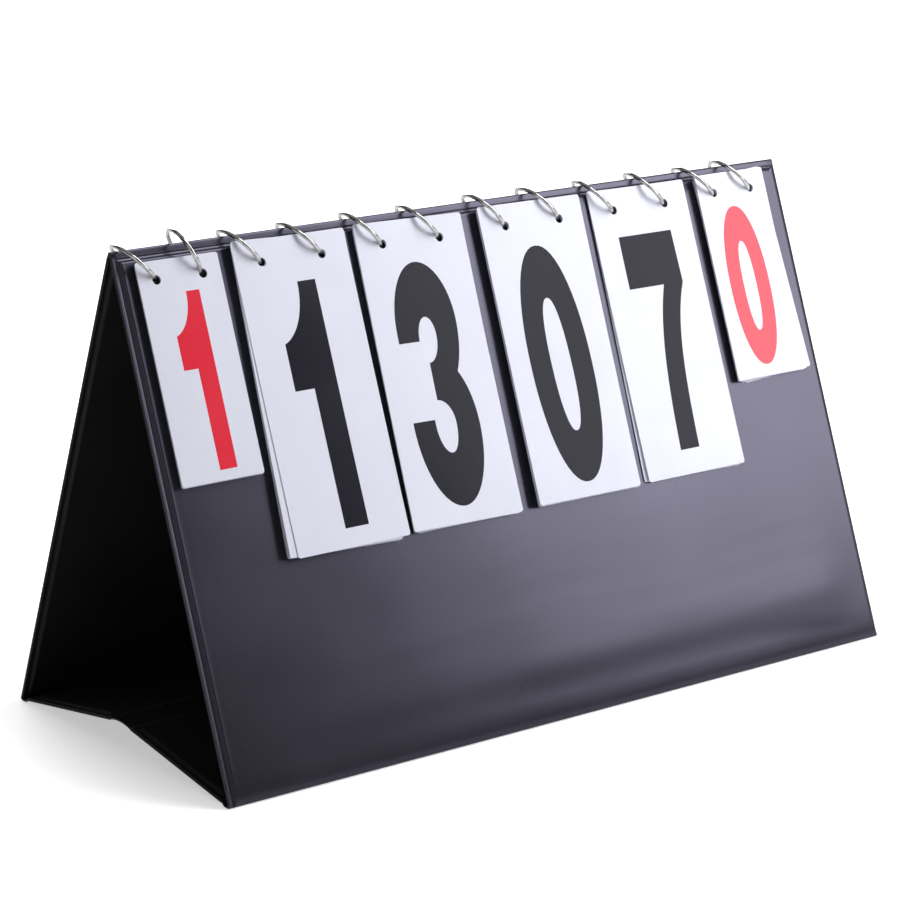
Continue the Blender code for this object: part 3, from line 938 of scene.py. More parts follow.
@dataclass
class Hinges:
    """The folded vinyl that joins the boards: the spine, the two feet and the two halves of the knee."""

    tent: TentShape
    steps: int = 9
    crown: float = 0.0001
    lip: float = 0.0003
    gap_share: float = 0.8

    def spine_path(self) -> np.ndarray:
        """Up the front panel, round the ridge and down the back panel, almost to the skins."""
        angle = self.tent.ridge_half_angle
        leg = self.tent.ridge_strip_leg + self.gap_share * self.tent.seat_gap
        centre = np.array([0.0, self.tent.apex - self.tent.ridge_strip_radius / math.sin(angle)])
        bend = arc_points(centre, self.tent.ridge_strip_radius, math.pi - angle, angle, self.steps)
        front, back = (self.tent.panel_plane(side).place(0.0, leg, 0.0)[1:] for side in (-1, 1))
        rise = np.linspace(0.0, 1.0, 6)[:-1, None]
        return np.concatenate([
            front + (bend[0] - front) * rise, bend, bend[-1] + (back - bend[-1]) * (1 - rise[::-1])
        ])

    def foot_path(self, side: int) -> np.ndarray:
        """Down from a panel, round the foot, along the table and up into the flap."""
        tent = self.tent
        plane = tent.panel_plane(side)
        middle, radius = tent.strip_thickness / 2, tent.foot_fillet_radius
        corner = meeting_point(
            np.array(plane.origin), np.array(plane.down), np.array([0.0, middle]), np.array([1.0, 0.0])
        )
        half_corner = (math.pi / 2 - tent.ridge_half_angle) / 2
        centre = corner + np.array([-side * radius / math.tan(half_corner), radius])
        face = tent.ridge_half_angle if side > 0 else math.pi - tent.ridge_half_angle
        under = -math.pi / 2 if side > 0 else 3 * math.pi / 2
        bend = arc_points(centre, radius, face, under, self.steps)
        top = plane.place(0.0, tent.panel_slant - tent.foot_strip_height, 0.0)[1:]
        flat = np.array([bend[-1][0] - side * tent.foot_flat_length, middle])
        end = tent.flap_root(side) - tent.flap_direction(side) * (tent.seat_gap + tent.strip_thickness / 4)
        share = np.linspace(0.0, 1.0, 4)[1:-1, None]
        return np.concatenate([
            [top], top + (bend[0] - top) * share, bend, bend[-1] + (flat - bend[-1]) * share, [flat],
            flat + (end - flat) * share, [end],
        ])

    def knee_path(self, side: int) -> np.ndarray:
        """Half of the low arch over the knee, from a flap's tip to the middle."""
        tent = self.tent
        start = tent.flap_root(side) + tent.flap_direction(side) * (tent.flap_length + tent.seat_gap)
        y = np.linspace(start[0], side * tent.seat_gap / 2, 12)
        return np.stack([y, start[1] + tent.knee_web_rise * (1 - (y / start[0]) ** 2)], -1)

    def add_strip(self, name: str, path: np.ndarray, material: Material, *shape: float) -> bpy.types.Object:
        """Makes a strip as thick and as long as the tent's, with a crown and a lip if they are given."""
        return FoldedStrip(name, path, self.tent.strip_thickness, self.tent.width, *shape).build(material)

    def build(self, finishes: Finishes) -> None:
        """Builds each strip and sets it across its joint."""
        tent, vinyl = self.tent, finishes.cover
        piece = self.add_strip("ridge_spine", self.spine_path(), vinyl, self.crown, self.lip)
        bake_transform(piece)
        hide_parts("ridge_strip")
        for side, name in ((-1, "front"), (1, "back")):
            piece = self.add_strip(f"{name}_foot_fold", self.foot_path(side), vinyl)
            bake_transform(piece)
            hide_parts(f"{name}_foot_strip")
            piece = self.add_strip(f"{name}_knee_fold", self.knee_path(side), vinyl)
            seat(piece, f"{name}_flap", Slot.COVER.value, f"{name}_flap_knee_web")
            tip = tent.flap_root(side) + tent.flap_direction(side) * tent.flap_length
            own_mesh(piece)


# Numerals


class Numeral(Enum):
    """Numerals that are printed on the cards."""

    ZERO = 0
    ONE = 1
    TWO = 2
    THREE = 3
    FOUR = 4
    SEVEN = 7
    EIGHT = 8


def rounded_oval(middle: Span, reach: Span, power: float) -> np.ndarray:
    """Points of a superellipse, in 56 even steps of its angle t.

    Along each axis a point lies from the middle by the reach times the cosine or the sine of t,
    raised to two over power with its sign kept. A power above two gives squarer bows.
    """
    turn = 2 * np.pi * np.arange(56) / 56
    wave = np.round(np.stack([np.cos(turn), np.sin(turn)], -1), 12)
    return np.array(middle) - np.array(reach) * np.sign(wave) * np.abs(wave) ** (2 / power)


def oval(middle: Span, reach: Span, start: float, end: float) -> np.ndarray:
    """Points of part of an ellipse: middle plus reach times (cos, sin), in even steps of about 6 degrees.

    Args:
        middle: The ellipse's middle, x to the right and y down.
        reach: Its half width and half height.
        start: The first angle in degrees, 0 to the right and 90 down.
        end: The last angle.
    Returns:
        The points in order.
    """
    angle = np.radians(np.linspace(start, end, max(3, round(abs(end - start) / 6) + 1)))
    return np.array(middle) + np.array(reach) * np.stack([np.cos(angle), np.sin(angle)], -1)


def settling(low: float, high: float, rate: float, y: np.ndarray) -> np.ndarray:
    """Points at heights y whose x falls from high towards low, less and less with the rate."""
    return np.stack([low + (high - low) * np.exp(-rate * (y - y[0])), y], -1)


def run_together(*runs: np.ndarray | list) -> np.ndarray:
    """Runs of points as one closed outline, with points that repeat their neighbour left out."""
    points = np.concatenate([np.asarray(run, float) for run in runs])
    apart = np.linalg.norm(points - np.roll(points, 1, 0), axis=1) > 1e-6
    return points[apart]


def split_sides(outline: np.ndarray, step: float) -> np.ndarray:
    """A closed outline with each side split evenly, so that no two neighbours lie more than step apart."""
    sides = np.roll(outline, -1, 0) - outline
    counts = np.maximum(1, np.ceil(np.linalg.norm(sides, axis=1) / step)).astype(int)
    side = np.repeat(np.arange(len(outline)), counts)
    within = np.arange(len(side)) - np.repeat(np.cumsum(counts) - counts, counts)
    return outline[side] + sides[side] * (within / counts[side])[:, None]


STEM_HEIGHTS = np.linspace(0.243, 1.0, 22)

# Each numeral's outer outline and then its counters, in a box one wide and one high, with y down
NUMERAL_OUTLINES = {
    # A tall oval with a narrow oval counter
    Numeral.ZERO: [
        rounded_oval((0.5, 0.5), (0.5, 0.5), 2.15),
        rounded_oval((0.5, 0.503), (0.163, 0.281), 2.3),
    ],
    # An upright stem with a flag that is cut level below and curved above
    Numeral.ONE: [
        run_together(
            oval((-0.15, 0.0), (0.727, 0.245), 0.0, 78.0),
            [(0.0, 0.2397), (0.0, 0.431), (0.447, 0.431), (0.447, 1.0), (1.0, 1.0), (0.995, 0.0)],
        )
    ],
    # A round top that runs straight down to the left onto a level foot
    Numeral.TWO: [
        run_together(
            [(0.0, 0.33)],
            oval((0.49, 0.285), (0.49, 0.285), 180, 398),
            [(0.42, 0.815), (1.0, 0.815), (1.0, 1.0), (0.0, 1.0), (0.0, 0.87)],
            oval((0.49, 0.30), (0.15, 0.135), 48, -180),
            [(0.34, 0.33)],
        )
    ],
    # Two bowls open to the left, with level ends and a short arm between them
    Numeral.THREE: [
        run_together(
            [(0.028, 0.321)],
            oval((0.4905, 0.283), (0.4625, 0.283), 180, 270),
            oval((0.4905, 0.256), (0.4625, 0.256), 270, 360),
            oval((0.4905, 0.256), (0.4625, 0.295), 0, 44),
            oval((0.53, 0.69), (0.47, 0.293), -51.4, 0),
            oval((0.53, 0.69), (0.47, 0.31), 0, 90),
            oval((0.53, 0.655), (0.53, 0.345), 90, 180),
            [(0.0, 0.641), (0.331, 0.641)],
            oval((0.504, 0.655), (0.173, 0.127), 180, 90),
            oval((0.504, 0.668), (0.143, 0.114), 90, 0),
            oval((0.427, 0.668), (0.22, 0.103), 0, -90),
            oval((0.427, 0.304), (0.184, 0.108), 90, 0),
            oval((0.487, 0.304), (0.124, 0.079), 0, -90),
            oval((0.487, 0.321), (0.145, 0.096), -90, -180),
        )
    ],
    # A slanted arm, a level bar and an upright, with a three-cornered counter
    Numeral.FOUR: [
        np.array([
            (0.52, 0.0), (0.0, 0.60), (0.0, 0.79), (0.50, 0.79), (0.50, 1.0), (0.83, 1.0), (0.83, 0.79),
            (1.0, 0.79), (1.0, 0.615), (0.83, 0.615), (0.83, 0.0),
        ]),
        np.array([(0.50, 0.615), (0.24, 0.615), (0.50, 0.27)]),
    ],
    # A level bar and a stem whose two edges settle towards the upright as they go down
    Numeral.SEVEN: [
        run_together(
            [(0.0, 0.0), (0.0, 0.243)],
            settling(0.25, 0.64, 3.3, STEM_HEIGHTS),
            settling(0.615, 1.0, 4.13, STEM_HEIGHTS)[::-1],
            [(0.98, 0.0)],
        )
    ],
    # Two stacked bowls, the lower one wider, each with an oval counter
    Numeral.EIGHT: [
        run_together(
            oval((0.5, 0.262), (0.45, 0.262), 180, 360),
            oval((0.5, 0.262), (0.45, 0.285), 0, 40),
            oval((0.5, 0.69), (0.5, 0.338), -46.4, 0),
            oval((0.5, 0.69), (0.5, 0.31), 0, 180),
            oval((0.5, 0.69), (0.5, 0.338), 180, 226.4),
            oval((0.5, 0.262), (0.45, 0.285), 140, 180),
        ),
        oval((0.5, 0.285), (0.15, 0.105), 0, 354),
        oval((0.5, 0.70), (0.17, 0.15), 0, 354),
    ],
}


def filled_plate(outlines: list[np.ndarray], thickness: float) -> tuple[np.ndarray, list[list[int]]]:
    """A closed flat plate inside outlines, as a filled curve of Blender's made a mesh.

    Args:
        outlines: The outer outline and the counters, as (x, y) points.
        thickness: The plate's height; it stands from 0 to that height.
    Returns:
        The plate's points and faces, its doubles merged and its faces outwards.
    """
    curve = bpy.data.curves.new("plate", "CURVE")
    curve.dimensions = "2D"
    curve.fill_mode = "BOTH"
    curve.extrude = thickness / 2
    for outline in outlines:
        spline = curve.splines.new("POLY")
        spline.points.add(len(outline) - 1)
        flat = np.zeros((len(outline), 4), np.float32)
        flat[:, :2], flat[:, 3] = outline, 1.0
        spline.points.foreach_set("co", flat.ravel())
        spline.use_cyclic_u = True
    holder = add_object("plate", curve)
    bpy.context.view_layer.update()
    mesh = bpy.data.meshes.new_from_object(holder.evaluated_get(bpy.context.evaluated_depsgraph_get()))
    points = np.empty(len(mesh.vertices) * 3, np.float32)
    mesh.vertices.foreach_get("co", points)
    points = points.reshape(-1, 3).astype(float) + (0.0, 0.0, thickness / 2)
    _, first, merged = np.unique(np.round(points, 7), axis=0, return_index=True, return_inverse=True)
    faces = [[int(merged.reshape(-1)[v]) for v in polygon.vertices] for polygon in mesh.polygons]
    faces = [face for face in faces if len(set(face)) > 2]
    bpy.data.objects.remove(holder, do_unlink=True)
    bpy.data.curves.remove(curve)
    bpy.data.meshes.remove(mesh)
    return points[first], faces


# Cards and rings


@dataclass(frozen=True)
class CardKind:
    """A card's sizes and the box that its numeral is printed in, measured from the holes."""

    width: float
    height: float
    hole_to_top: float
    hole_spacing: float
    numeral_top: float
    numeral_height: float
    numeral_width: float
    thickness: float = 0.0003
    hole_radius: float = 0.0021
    corner_radius: float = 0.0012

    @property
    def bottom(self) -> float:
        """Distance from the holes to the bottom edge."""
        return self.height - self.hole_to_top


LARGE_CARD = CardKind(0.0598, 0.1385, 0.0101, 0.0317, 0.0109, 0.1105, 0.0355)
SMALL_CARD = CardKind(0.0425, 0.0982, 0.0090, 0.0234, 0.0072, 0.0778, 0.0250)
LEFT_SMALL_CARD = replace(SMALL_CARD, width=0.0416, height=0.0969, hole_to_top=0.0083)
RIGHT_SMALL_CARD = replace(SMALL_CARD, width=0.0436, height=0.1005, hole_to_top=0.0093)
CARD_SPACE = 0.0001

# The panel's half thickness, the gap over it and half a card
FIRST_CARD_OFFSET = 0.0015 + 0.0003 + 0.00015
NUMERAL_WIDTH_SHARES = {Numeral.ONE: 0.64, Numeral.SEVEN: 0.93}
PRINT_THICKNESS = 0.00003

# The widest gaps between a sheet's grid lines; print is split as finely as the sheet's rows
CARD_STEP_ACROSS = 0.02
CARD_STEP_DOWN = 0.008


@dataclass(frozen=True)
class PrintBox:
    """The box that a numeral fills on its card, from the middle of the two holes."""

    across: float
    down: float
    width: float
    height: float
    turn: float = 0.0

    @classmethod
    def usual(cls, kind: CardKind, numeral: Numeral) -> "PrintBox":
        """The box in the middle of the card, at the kind's own size."""
        width = kind.numeral_width * NUMERAL_WIDTH_SHARES.get(numeral, 1.0)
        return cls(0.0, kind.numeral_top, width, kind.numeral_height)

    def place(self, outline: np.ndarray) -> np.ndarray:
        """An outline from its unit box, scaled, turned about the box's middle and moved to its place."""
        x, y = ((outline - 0.5) * (self.width, self.height)).T
        cosine, sine = math.cos(self.turn), math.sin(self.turn)
        middle = (self.across, self.down + self.height / 2)
        return np.stack([x * cosine + y * sine, y * cosine - x * sine], -1) + middle


@dataclass
class CardSheet:
    """One sheet of a stack, flat but for a slight curl of its lower end, on a panel's plane."""

    kind: CardKind
    plane: BoardPlane
    middle: float
    offset: float
    hang: float
    shift: float = 0.0
    curl: float = 0.0

    def spread(self, x: Grid, y: Grid, h: Grid | float) -> Grid:
        """Points of the sheet in the row frame.

        x is measured from the stack's middle and y down from the holes. The sheet is turned about
        the middle of its holes by the bottom's shift over its length, then set on the plane, and its
        lower end stands off the plane by curl times the cube of the share of the way down.
        """
        swing = self.shift / self.kind.bottom
        turned_x = x * math.cos(swing) + y * math.sin(swing)
        turned_y = y * math.cos(swing) - x * math.sin(swing)
        share = np.clip(y / self.kind.bottom, 0.0, 1.0)
        height = h + self.offset + self.curl * share**3
        return self.plane.place(self.middle + turned_x, self.hang + turned_y, height)

    def shell(self) -> Shell:
        """The sheet as a closed shell with rounded corners and two punched holes."""
        kind = self.kind
        half = kind.width / 2
        holes = [(-kind.hole_spacing / 2, 0.0), (kind.hole_spacing / 2, 0.0)]
        corner = kind.corner_radius * np.array([0.0, 0.3, 0.65, 1.0])
        knots_x = [corner - half, half - corner, *(x + kind.hole_radius * HOLE_KNOTS for x, _ in holes)]
        knots_y = [corner - kind.hole_to_top, kind.bottom - corner, kind.hole_radius * HOLE_KNOTS]
        lines_x = graded_lines(-half, half, CARD_STEP_ACROSS, *knots_x)
        lines_y = graded_lines(-kind.hole_to_top, kind.bottom, CARD_STEP_DOWN, *knots_y)
        keep = cells_outside_holes(lines_x, lines_y, holes, kind.hole_radius)
        x, y = np.meshgrid(lines_x, lines_y, indexing="ij")
        x, y = round_corners(x, y, (-half, half, -kind.hole_to_top, kind.bottom), kind.corner_radius)
        x, y = bend_round_holes(x, y, holes, kind.hole_radius)
        top, bottom = (self.spread(x, y, h) for h in (kind.thickness / 2, -kind.thickness / 2))
        return closed_shell(top, bottom, keep)[:2]

    def numeral(
        self, name: str, numeral: Numeral, material: Material, reverse: bool, box: PrintBox | None = None
    ) -> bpy.types.Object:
        """A numeral printed on the sheet.

        The film stands a hair over the sheet's surface, and its outline is split finely enough to
        follow the sheet's curl.

        Args:
            name: The piece's name.
            numeral: What is printed.
            material: The ink.
            reverse: True to print the other face, as it is read once the sheet has turned over.
            box: The box that the numeral fills, or None for the usual one of the sheet's kind.
        Returns:
            The film as an object.
        """
        box = box or PrintBox.usual(self.kind, numeral)
        outlines = [split_sides(box.place(outline), CARD_STEP_DOWN) for outline in NUMERAL_OUTLINES[numeral]]
        points, faces = filled_plate(outlines, PRINT_THICKNESS)
        side = -1.0 if reverse else 1.0
        height = side * (self.kind.thickness / 2 + HAIR + points[:, 2])
        placed = self.spread(side * points[:, 0], points[:, 1], height)
        mesh = bpy.data.meshes.new(name)
        mesh.from_pydata(placed.tolist(), [], faces)
        mesh.materials.append(material)
        self.face_outwards(mesh)
        return add_object(name, mesh)

    @staticmethod
    def face_outwards(mesh: bpy.types.Mesh) -> None:
        """Turns a closed mesh the right way round where its enclosed volume is negative."""
        mesh.calc_loop_triangles()
        corners = np.empty(len(mesh.loop_triangles) * 3, np.int32)
        mesh.loop_triangles.foreach_get("vertices", corners)
        places = np.empty(len(mesh.vertices) * 3, np.float32)
        mesh.vertices.foreach_get("co", places)
        places = places.reshape(-1, 3).astype(float)
        a, b, c = places[corners.reshape(-1, 3)].transpose(1, 0, 2) - places.mean(0)
        if np.einsum("ij,ij->", a, np.cross(b, c)) < 0:
            mesh.flip_normals()


@dataclass
class WireRing:
    """A round nickel ring that leans to the left on the chord between the cards and the back panel."""

    name: str
    x: float
    lean: float
    front: np.ndarray
    back: np.ndarray
    front_shift: float = -0.0009
    back_shift: float = 0.0024
    drop: float = 0.0009
    radius: float = 0.0114
    wire: float = 0.00095
    steps: int = 112
    sides: int = 16
    seam_angle: float = 0.9
    seam_spread: float = 0.03
    seam_depth: float = 0.16

    def shell(self) -> Shell:
        """The ring as a closed tube.

        Its circle goes through the two chord ends, which are moved along x by their shifts and down by
        the drop. Square to the chord, one line points as nearly upright as it can and one to the side.
        The circle's plane holds the chord and the line that leans from the upright one to the left
        by the lean angle, and the centre lies on that line, at the root of the radius squared less
        the half chord squared. The wire thins over a short arc at the back, where the ring opens.
        """
        front = np.array([self.x + self.front_shift, self.front[0], self.front[1] - self.drop])
        back = np.array([self.x + self.back_shift, self.back[0], self.back[1] - self.drop])
        chord = back - front
        half = np.linalg.norm(chord) / 2
        along = chord / (2 * half)
        upright = np.array([0.0, 0.0, 1.0]) - along * along[2]
        upright /= np.linalg.norm(upright)
        aside = np.cross(along, upright)
        aside *= -np.sign(aside[0])
        leaning = math.cos(self.lean) * upright + math.sin(self.lean) * aside
        centre = (front + back) / 2 + leaning * math.sqrt(self.radius**2 - half**2)
        turn = 2 * np.pi * np.arange(self.steps) / self.steps
        spoke = along * np.cos(turn)[:, None] + leaning * np.sin(turn)[:, None]
        across = np.broadcast_to(np.cross(along, leaning), spoke.shape)
        seam = self.seam_depth * np.exp(-(((turn - self.seam_angle) / self.seam_spread) ** 2))
        return tube(centre + self.radius * spoke, spoke, across, self.wire * (1 - seam), self.sides)


@dataclass
class CardStack:
    """A stack of numbered cards hung over the ridge on two rings."""

    name: str
    kind: CardKind
    middle: float
    count: int
    shown: int
    leans: Span
    top_numeral: Numeral
    next_numeral: Numeral
    reverse_numeral: Numeral
    top_box: PrintBox
    loose_shifts: tuple[float, ...] = ()
    top_swing: float = 0.0
    pile_swing: float = 0.0
    hole_line: float = 0.0147
    turned_numeral: Numeral | None = None
    tent: TentShape = TentShape()
    hanging: Hanging = Hanging()
    hang_back: float = 0.0008
    step_share: float = 0.35
    slide: float = 0.5
    curl: float = 0.0006
    most_separate: int = 3
    sway_spread: float = 0.00008
    shift_spread: float = 0.0002
    turned_spread: float = 0.0004

    @property
    def front_count(self) -> int:
        """How many cards lie on the front panel under the top card."""
        return self.count - self.shown - 1

    def offset(self, place: int) -> float:
        """Height of a card's middle over the panel's middle plane, counted from the panel."""
        return FIRST_CARD_OFFSET + place * (self.kind.thickness + CARD_SPACE)

    def sheet(self, side: int, place: int, shift: float, sway: float = 0.0) -> CardSheet:
        """The sheet at a place in the front (side -1) or back (side +1) pile.

        The ring carries a lower card a little further down, and because the ring leans, further to
        the right by the slide for each unit of depth under the top card. The curl falls off evenly
        from the top card to none at the panel.
        """
        offset = self.offset(place)
        wire = self.hanging.wire_distance(offset)
        plane = self.tent.panel_plane(side)
        if side > 0:
            return CardSheet(self.kind, plane, self.middle + sway, offset, wire + self.hang_back, shift)
        top = self.offset(self.front_count)
        hang = self.hole_line + self.step_share * (wire - self.hanging.wire_distance(top))
        middle = self.middle + self.slide * (top - offset) + sway
        curl = self.curl * place / self.front_count
        return CardSheet(self.kind, plane, middle, offset, hang, shift, curl)

    def pile(self, side: int, places: range, random: np.random.Generator) -> Shell:
        """Several sheets of a pile, each a hair out of line with the next, as one mesh."""
        sways = random.normal(0.0, self.sway_spread, len(places))
        shifts = random.normal(self.pile_swing if side < 0 else 0.0, self.shift_spread, len(places))
        return join_bodies([
            self.sheet(side, place, shift, sway).shell() for place, shift, sway in zip(places, shifts, sways)
        ])

    def add_sheets(self, label: str, shell: Shell, body: str, finishes: Finishes) -> None:
        """Adds one or more sheets on a body, in the place of the CAD node of the same label.

        Args:
            label: What they are, with the word sheet or sheets in it, which is card or cards in CAD.
            shell: Their points and faces.
            body: The body that they move with.
            finishes: The finishes.
        """
        piece = add_piece(f"{self.name}_{label}", *shell, finishes.card)
        seat(piece, body, Slot.CARD.value, f"{self.name}_{label.replace('sheet', 'card')}")

    def build_front(self, finishes: Finishes, ink: Material, random: np.random.Generator) -> None:
        """The cards that lie on the front panel, and the numeral of the uppermost."""
        for place, shift in enumerate(self.loose_shifts):
            shell = self.sheet(-1, place, shift).shell()
            self.add_sheets(f"loose_sheet_{place + 1}", shell, "front_panel", finishes)
        lower = self.pile(-1, range(len(self.loose_shifts), self.front_count), random)
        self.add_sheets("front_sheets", lower, "front_panel", finishes)
        upper = self.sheet(-1, self.front_count - 1, self.pile_swing)
        upper.offset += 2 * HAIR
        printed = upper.numeral(f"{self.name}_next_numeral", self.next_numeral, ink, False)
        seat(printed, "front_panel", None)

    def build_top(self, finishes: Finishes, ink: Material) -> None:
        """The card that shows, printed on both sides."""
        body = f"{self.name}_top"
        top = self.sheet(-1, self.front_count, self.top_swing)
        self.add_sheets("top_sheet", top.shell(), body, finishes)
        seat(top.numeral(f"{self.name}_top_numeral", self.top_numeral, ink, False, self.top_box), body, None)
        seat(top.numeral(f"{self.name}_reverse_numeral", self.reverse_numeral, ink, True), body, None)

    def build_back(self, finishes: Finishes, ink: Material, random: np.random.Generator) -> None:
        """The cards that have been turned over onto the back panel."""
        if not self.shown:
            return
        if self.shown > self.most_separate:
            self.add_sheets("turned_sheets", self.pile(1, range(self.shown), random), "back_panel", finishes)
        else:
            for place in range(self.shown):
                shell = self.sheet(1, place, float(random.normal(0.0, self.turned_spread))).shell()
                self.add_sheets(f"turned_sheet_{place + 1}", shell, "back_panel", finishes)
        outermost = self.sheet(1, self.shown - 1, 0.0)
        outermost.offset += self.kind.thickness + 2 * HAIR
        printed = outermost.numeral(f"{self.name}_turned_numeral", self.turned_numeral, ink, True)
        seat(printed, "back_panel", None)

    def build_rings(self, finishes: Finishes) -> None:
        """The two rings, which stand still while the cards slide round them."""
        top_offset = self.offset(self.front_count) + self.kind.thickness / 2
        front, back = (
            self.tent.panel_plane(side).place(0.0, self.hanging.wire_distance(offset), offset)[1:]
            for side, offset in ((-1, top_offset), (1, 0.0))
        )
        for label, half, lean in (("left", -1, self.leans[0]), ("right", 1, self.leans[1])):
            x = self.middle + half * self.kind.hole_spacing / 2
            ring = WireRing(f"{self.name}_{label}_wire_ring", x, math.radians(lean), front, back)
            piece = add_piece(ring.name, *ring.shell(), finishes.nickel, 80.0)
            seat(piece, "front_panel", Slot.RING.value, f"{self.name}_{label}_ring")

    def build(self, finishes: Finishes, ink: Material, seed: int) -> None:
        """Builds every sheet, numeral and ring of the stack."""
        random = np.random.default_rng(seed)
        self.build_front(finishes, ink, random)
        self.build_top(finishes, ink)
        self.build_back(finishes, ink, random)
        self.build_rings(finishes)


# Studio


@dataclass(frozen=True)
class Studio:
    """Camera, soft boxes, floor and backdrop.

    The key lamp stands at a bearing and a height angle, the reach away from a point over the table,
    and faces back along the bearing, tilted down. The paper is flat as far as the bend, then
    turns up round the bend's radius and ends at the top.
    """

    camera_place: tuple[float, float, float] = (-0.88649, -1.13328, 0.49738)
    forward: tuple[float, float, float] = (0.59124, 0.76268, -0.26221)
    upward: tuple[float, float, float] = (0.15680, 0.21021, 0.96500)
    lens: float = 128.4
    key_bearing: float = 0.8087
    key_height_angle: float = 0.6312
    key_reach: float = 0.874
    key_tilt: float = 0.950
    key_centre_height: float = 0.10
    paper_half_width: float = 6.0
    paper_front: float = -5.0
    paper_bend_start: float = 2.2
    paper_bend_radius: float = 1.2
    paper_top: float = 4.0
    paper_drop: float = 0.00005

    def build_camera(self) -> None:
        """The camera at the photograph's viewpoint."""
        data = bpy.data.cameras.new("studio_camera")
        data.lens, data.sensor_width = self.lens, 36.0
        data.clip_start, data.clip_end = 0.05, 20.0
        camera = add_object("studio_camera", data)
        ahead, up = Vector(self.forward).normalized(), Vector(self.upward)
        right = ahead.cross(up).normalized()
        up = right.cross(ahead)
        turn = Matrix((right, up, -ahead)).transposed().to_4x4()
        camera.matrix_world = Matrix.Translation(self.camera_place) @ turn
        bpy.context.scene.camera = camera

    def key_pose(self) -> tuple[tuple[float, ...], tuple[float, ...]]:
        """Where the key lamp stands, and a point that it faces."""
        bearing, height, tilt = self.key_bearing, self.key_height_angle, self.key_tilt
        place = (
            self.key_reach * math.cos(height) * math.sin(bearing),
            -self.key_reach * math.cos(height) * math.cos(bearing),
            self.key_centre_height + self.key_reach * math.sin(height),
        )
        facing = (
            -math.cos(tilt) * math.sin(bearing), math.cos(tilt) * math.cos(bearing), -math.sin(tilt)
        )
        return place, tuple(p + f for p, f in zip(place, facing))

    def add_softbox(
        self, name: str, place: tuple, target: tuple, size: Span, power: float, tint: Color
    ) -> None:
        """A rectangular lamp.

        Args:
            name: The lamp's name.
            place: Where it stands.
            target: A point that it faces.
            size: Its width and height.
            power: Its power in watts.
            tint: The colour of its light.
        """
        data = bpy.data.lights.new(name, "AREA")
        data.shape = "RECTANGLE"
        data.size, data.size_y = size
        data.energy = power
        data.color = tint
        lamp = add_object(name, data)
        lamp.location = place
        lamp.rotation_euler = (Vector(target) - Vector(place)).to_track_quat("-Z", "Y").to_euler()

    def build_world(self) -> None:
        """A dim neutral surround."""
        world = bpy.data.worlds.new("studio_surround")
        world.use_nodes = True
        background = world.node_tree.nodes["Background"]
        background.inputs["Color"].default_value = (0.93, 0.94, 1.0, 1.0)
        background.inputs["Strength"].default_value = 0.085
        bpy.context.scene.world = world

    def backdrop_material(self) -> Material:
        """Pale paper with painted shade round the object: it takes the shadow near the object, and over
        that a glow is added for the camera and, weaker, in gloss, which is about a half under the object
        and nearly one from a distance of 0.28 m on, by the length of the Object coordinate, so that the
        paper is painted darker round the object and fades to white away from it.
        """
        material = bpy.data.materials.new("pale_paper")
        material.use_nodes = True
        tree = material.node_tree
        tree.nodes.clear()
        path = add_node(tree, "LightPath", {})
        in_gloss = math_node(tree, "MULTIPLY", path["Is Glossy Ray"], 0.32)
        seen = math_node(tree, "MAXIMUM", path["Is Camera Ray"], in_gloss)
        seen = math_node(tree, "MAXIMUM", seen, path["Is Transmission Ray"])
        place = add_node(tree, "TexCoord", {})["Object"]
        distance = add_node(tree, "VectorMath", {0: place}, operation="LENGTH")["Value"]
        # Painted shade: the glow is weaker within 0.28 m of the object, so the paper is painted darker round
        # it
        painted_shade_glow = math_node(tree, "MULTIPLY", seen, range_node(tree, distance, (0.18, 0.28), (0.48, 0.95)))
        lift = add_node(tree, "Emission", {"Strength": painted_shade_glow})[0]
        paper = add_node(tree, "BsdfDiffuse", {"Color": (0.80, 0.80, 0.80)})[0]
        both = add_node(tree, "AddShader", {0: paper, 1: lift})[0]
        add_node(tree, "OutputMaterial", {"Surface": both})
        return material

    def build_sweep(self) -> None:
        """Floor and backdrop as one sheet: flat, then a quarter bend behind the object, then upright.

        In front of the bend the height is 0; on the bend it is the radius times one less the cosine
        of the angle turned so far.
        """
        radius, start = self.paper_bend_radius, self.paper_bend_start
        angle = np.linspace(0.0, np.pi / 2, 25)
        depth = np.concatenate([[self.paper_front, 0.0], start + radius * np.sin(angle), [start + radius]])
        height = np.concatenate([[0.0, 0.0], radius * (1 - np.cos(angle)), [self.paper_top]])
        across = np.linspace(-self.paper_half_width, self.paper_half_width, 3)
        ahead = Vector((self.forward[0], self.forward[1], 0)).normalized()
        x = across[:, None] * ahead.y + depth[None] * ahead.x
        y = -across[:, None] * ahead.x + depth[None] * ahead.y
        z = np.broadcast_to(height[None], x.shape) - self.paper_drop
        number = np.arange(x.size).reshape(x.shape)
        faces = np.stack([number[:-1, :-1], number[1:, :-1], number[1:, 1:], number[:-1, 1:]], -1)
        mesh = bpy.data.meshes.new("paper_sweep")
        mesh.from_pydata(np.stack([x, y, z], -1).reshape(-1, 3).tolist(), [], faces.reshape(-1, 4).tolist())
        mesh.polygons.foreach_set("use_smooth", np.ones(len(mesh.polygons), bool))
        mesh.materials.append(self.backdrop_material())
        sweep = add_object("paper_sweep", mesh)

    def build(self) -> None:
        """Builds the whole studio."""
        self.build_camera()
        self.build_world()
        self.build_sweep()
        self.add_softbox("key_softbox", *self.key_pose(), (0.402, 1.20), 9.9, (0.95, 0.955, 1.0))
        for name, place, target, size, power in (
            ("top_softbox", (-0.2, -0.1, 1.9), (0.0, 0.0, 0.0), 2.2, 5.0),
            ("side_softbox", (-1.41, -1.41, 0.80), (-0.1, 0.0, 0.10), 0.8, 2.4),
            ("back_softbox", (0.6, 2.2, 1.3), (0.0, 0.0, 0.10), 1.6, 42.0),
        ):
            self.add_softbox(name, place, target, (size, size), power, (0.97, 0.98, 1.0))
        bpy.context.scene.view_settings.view_transform = "Standard"


# Assembly


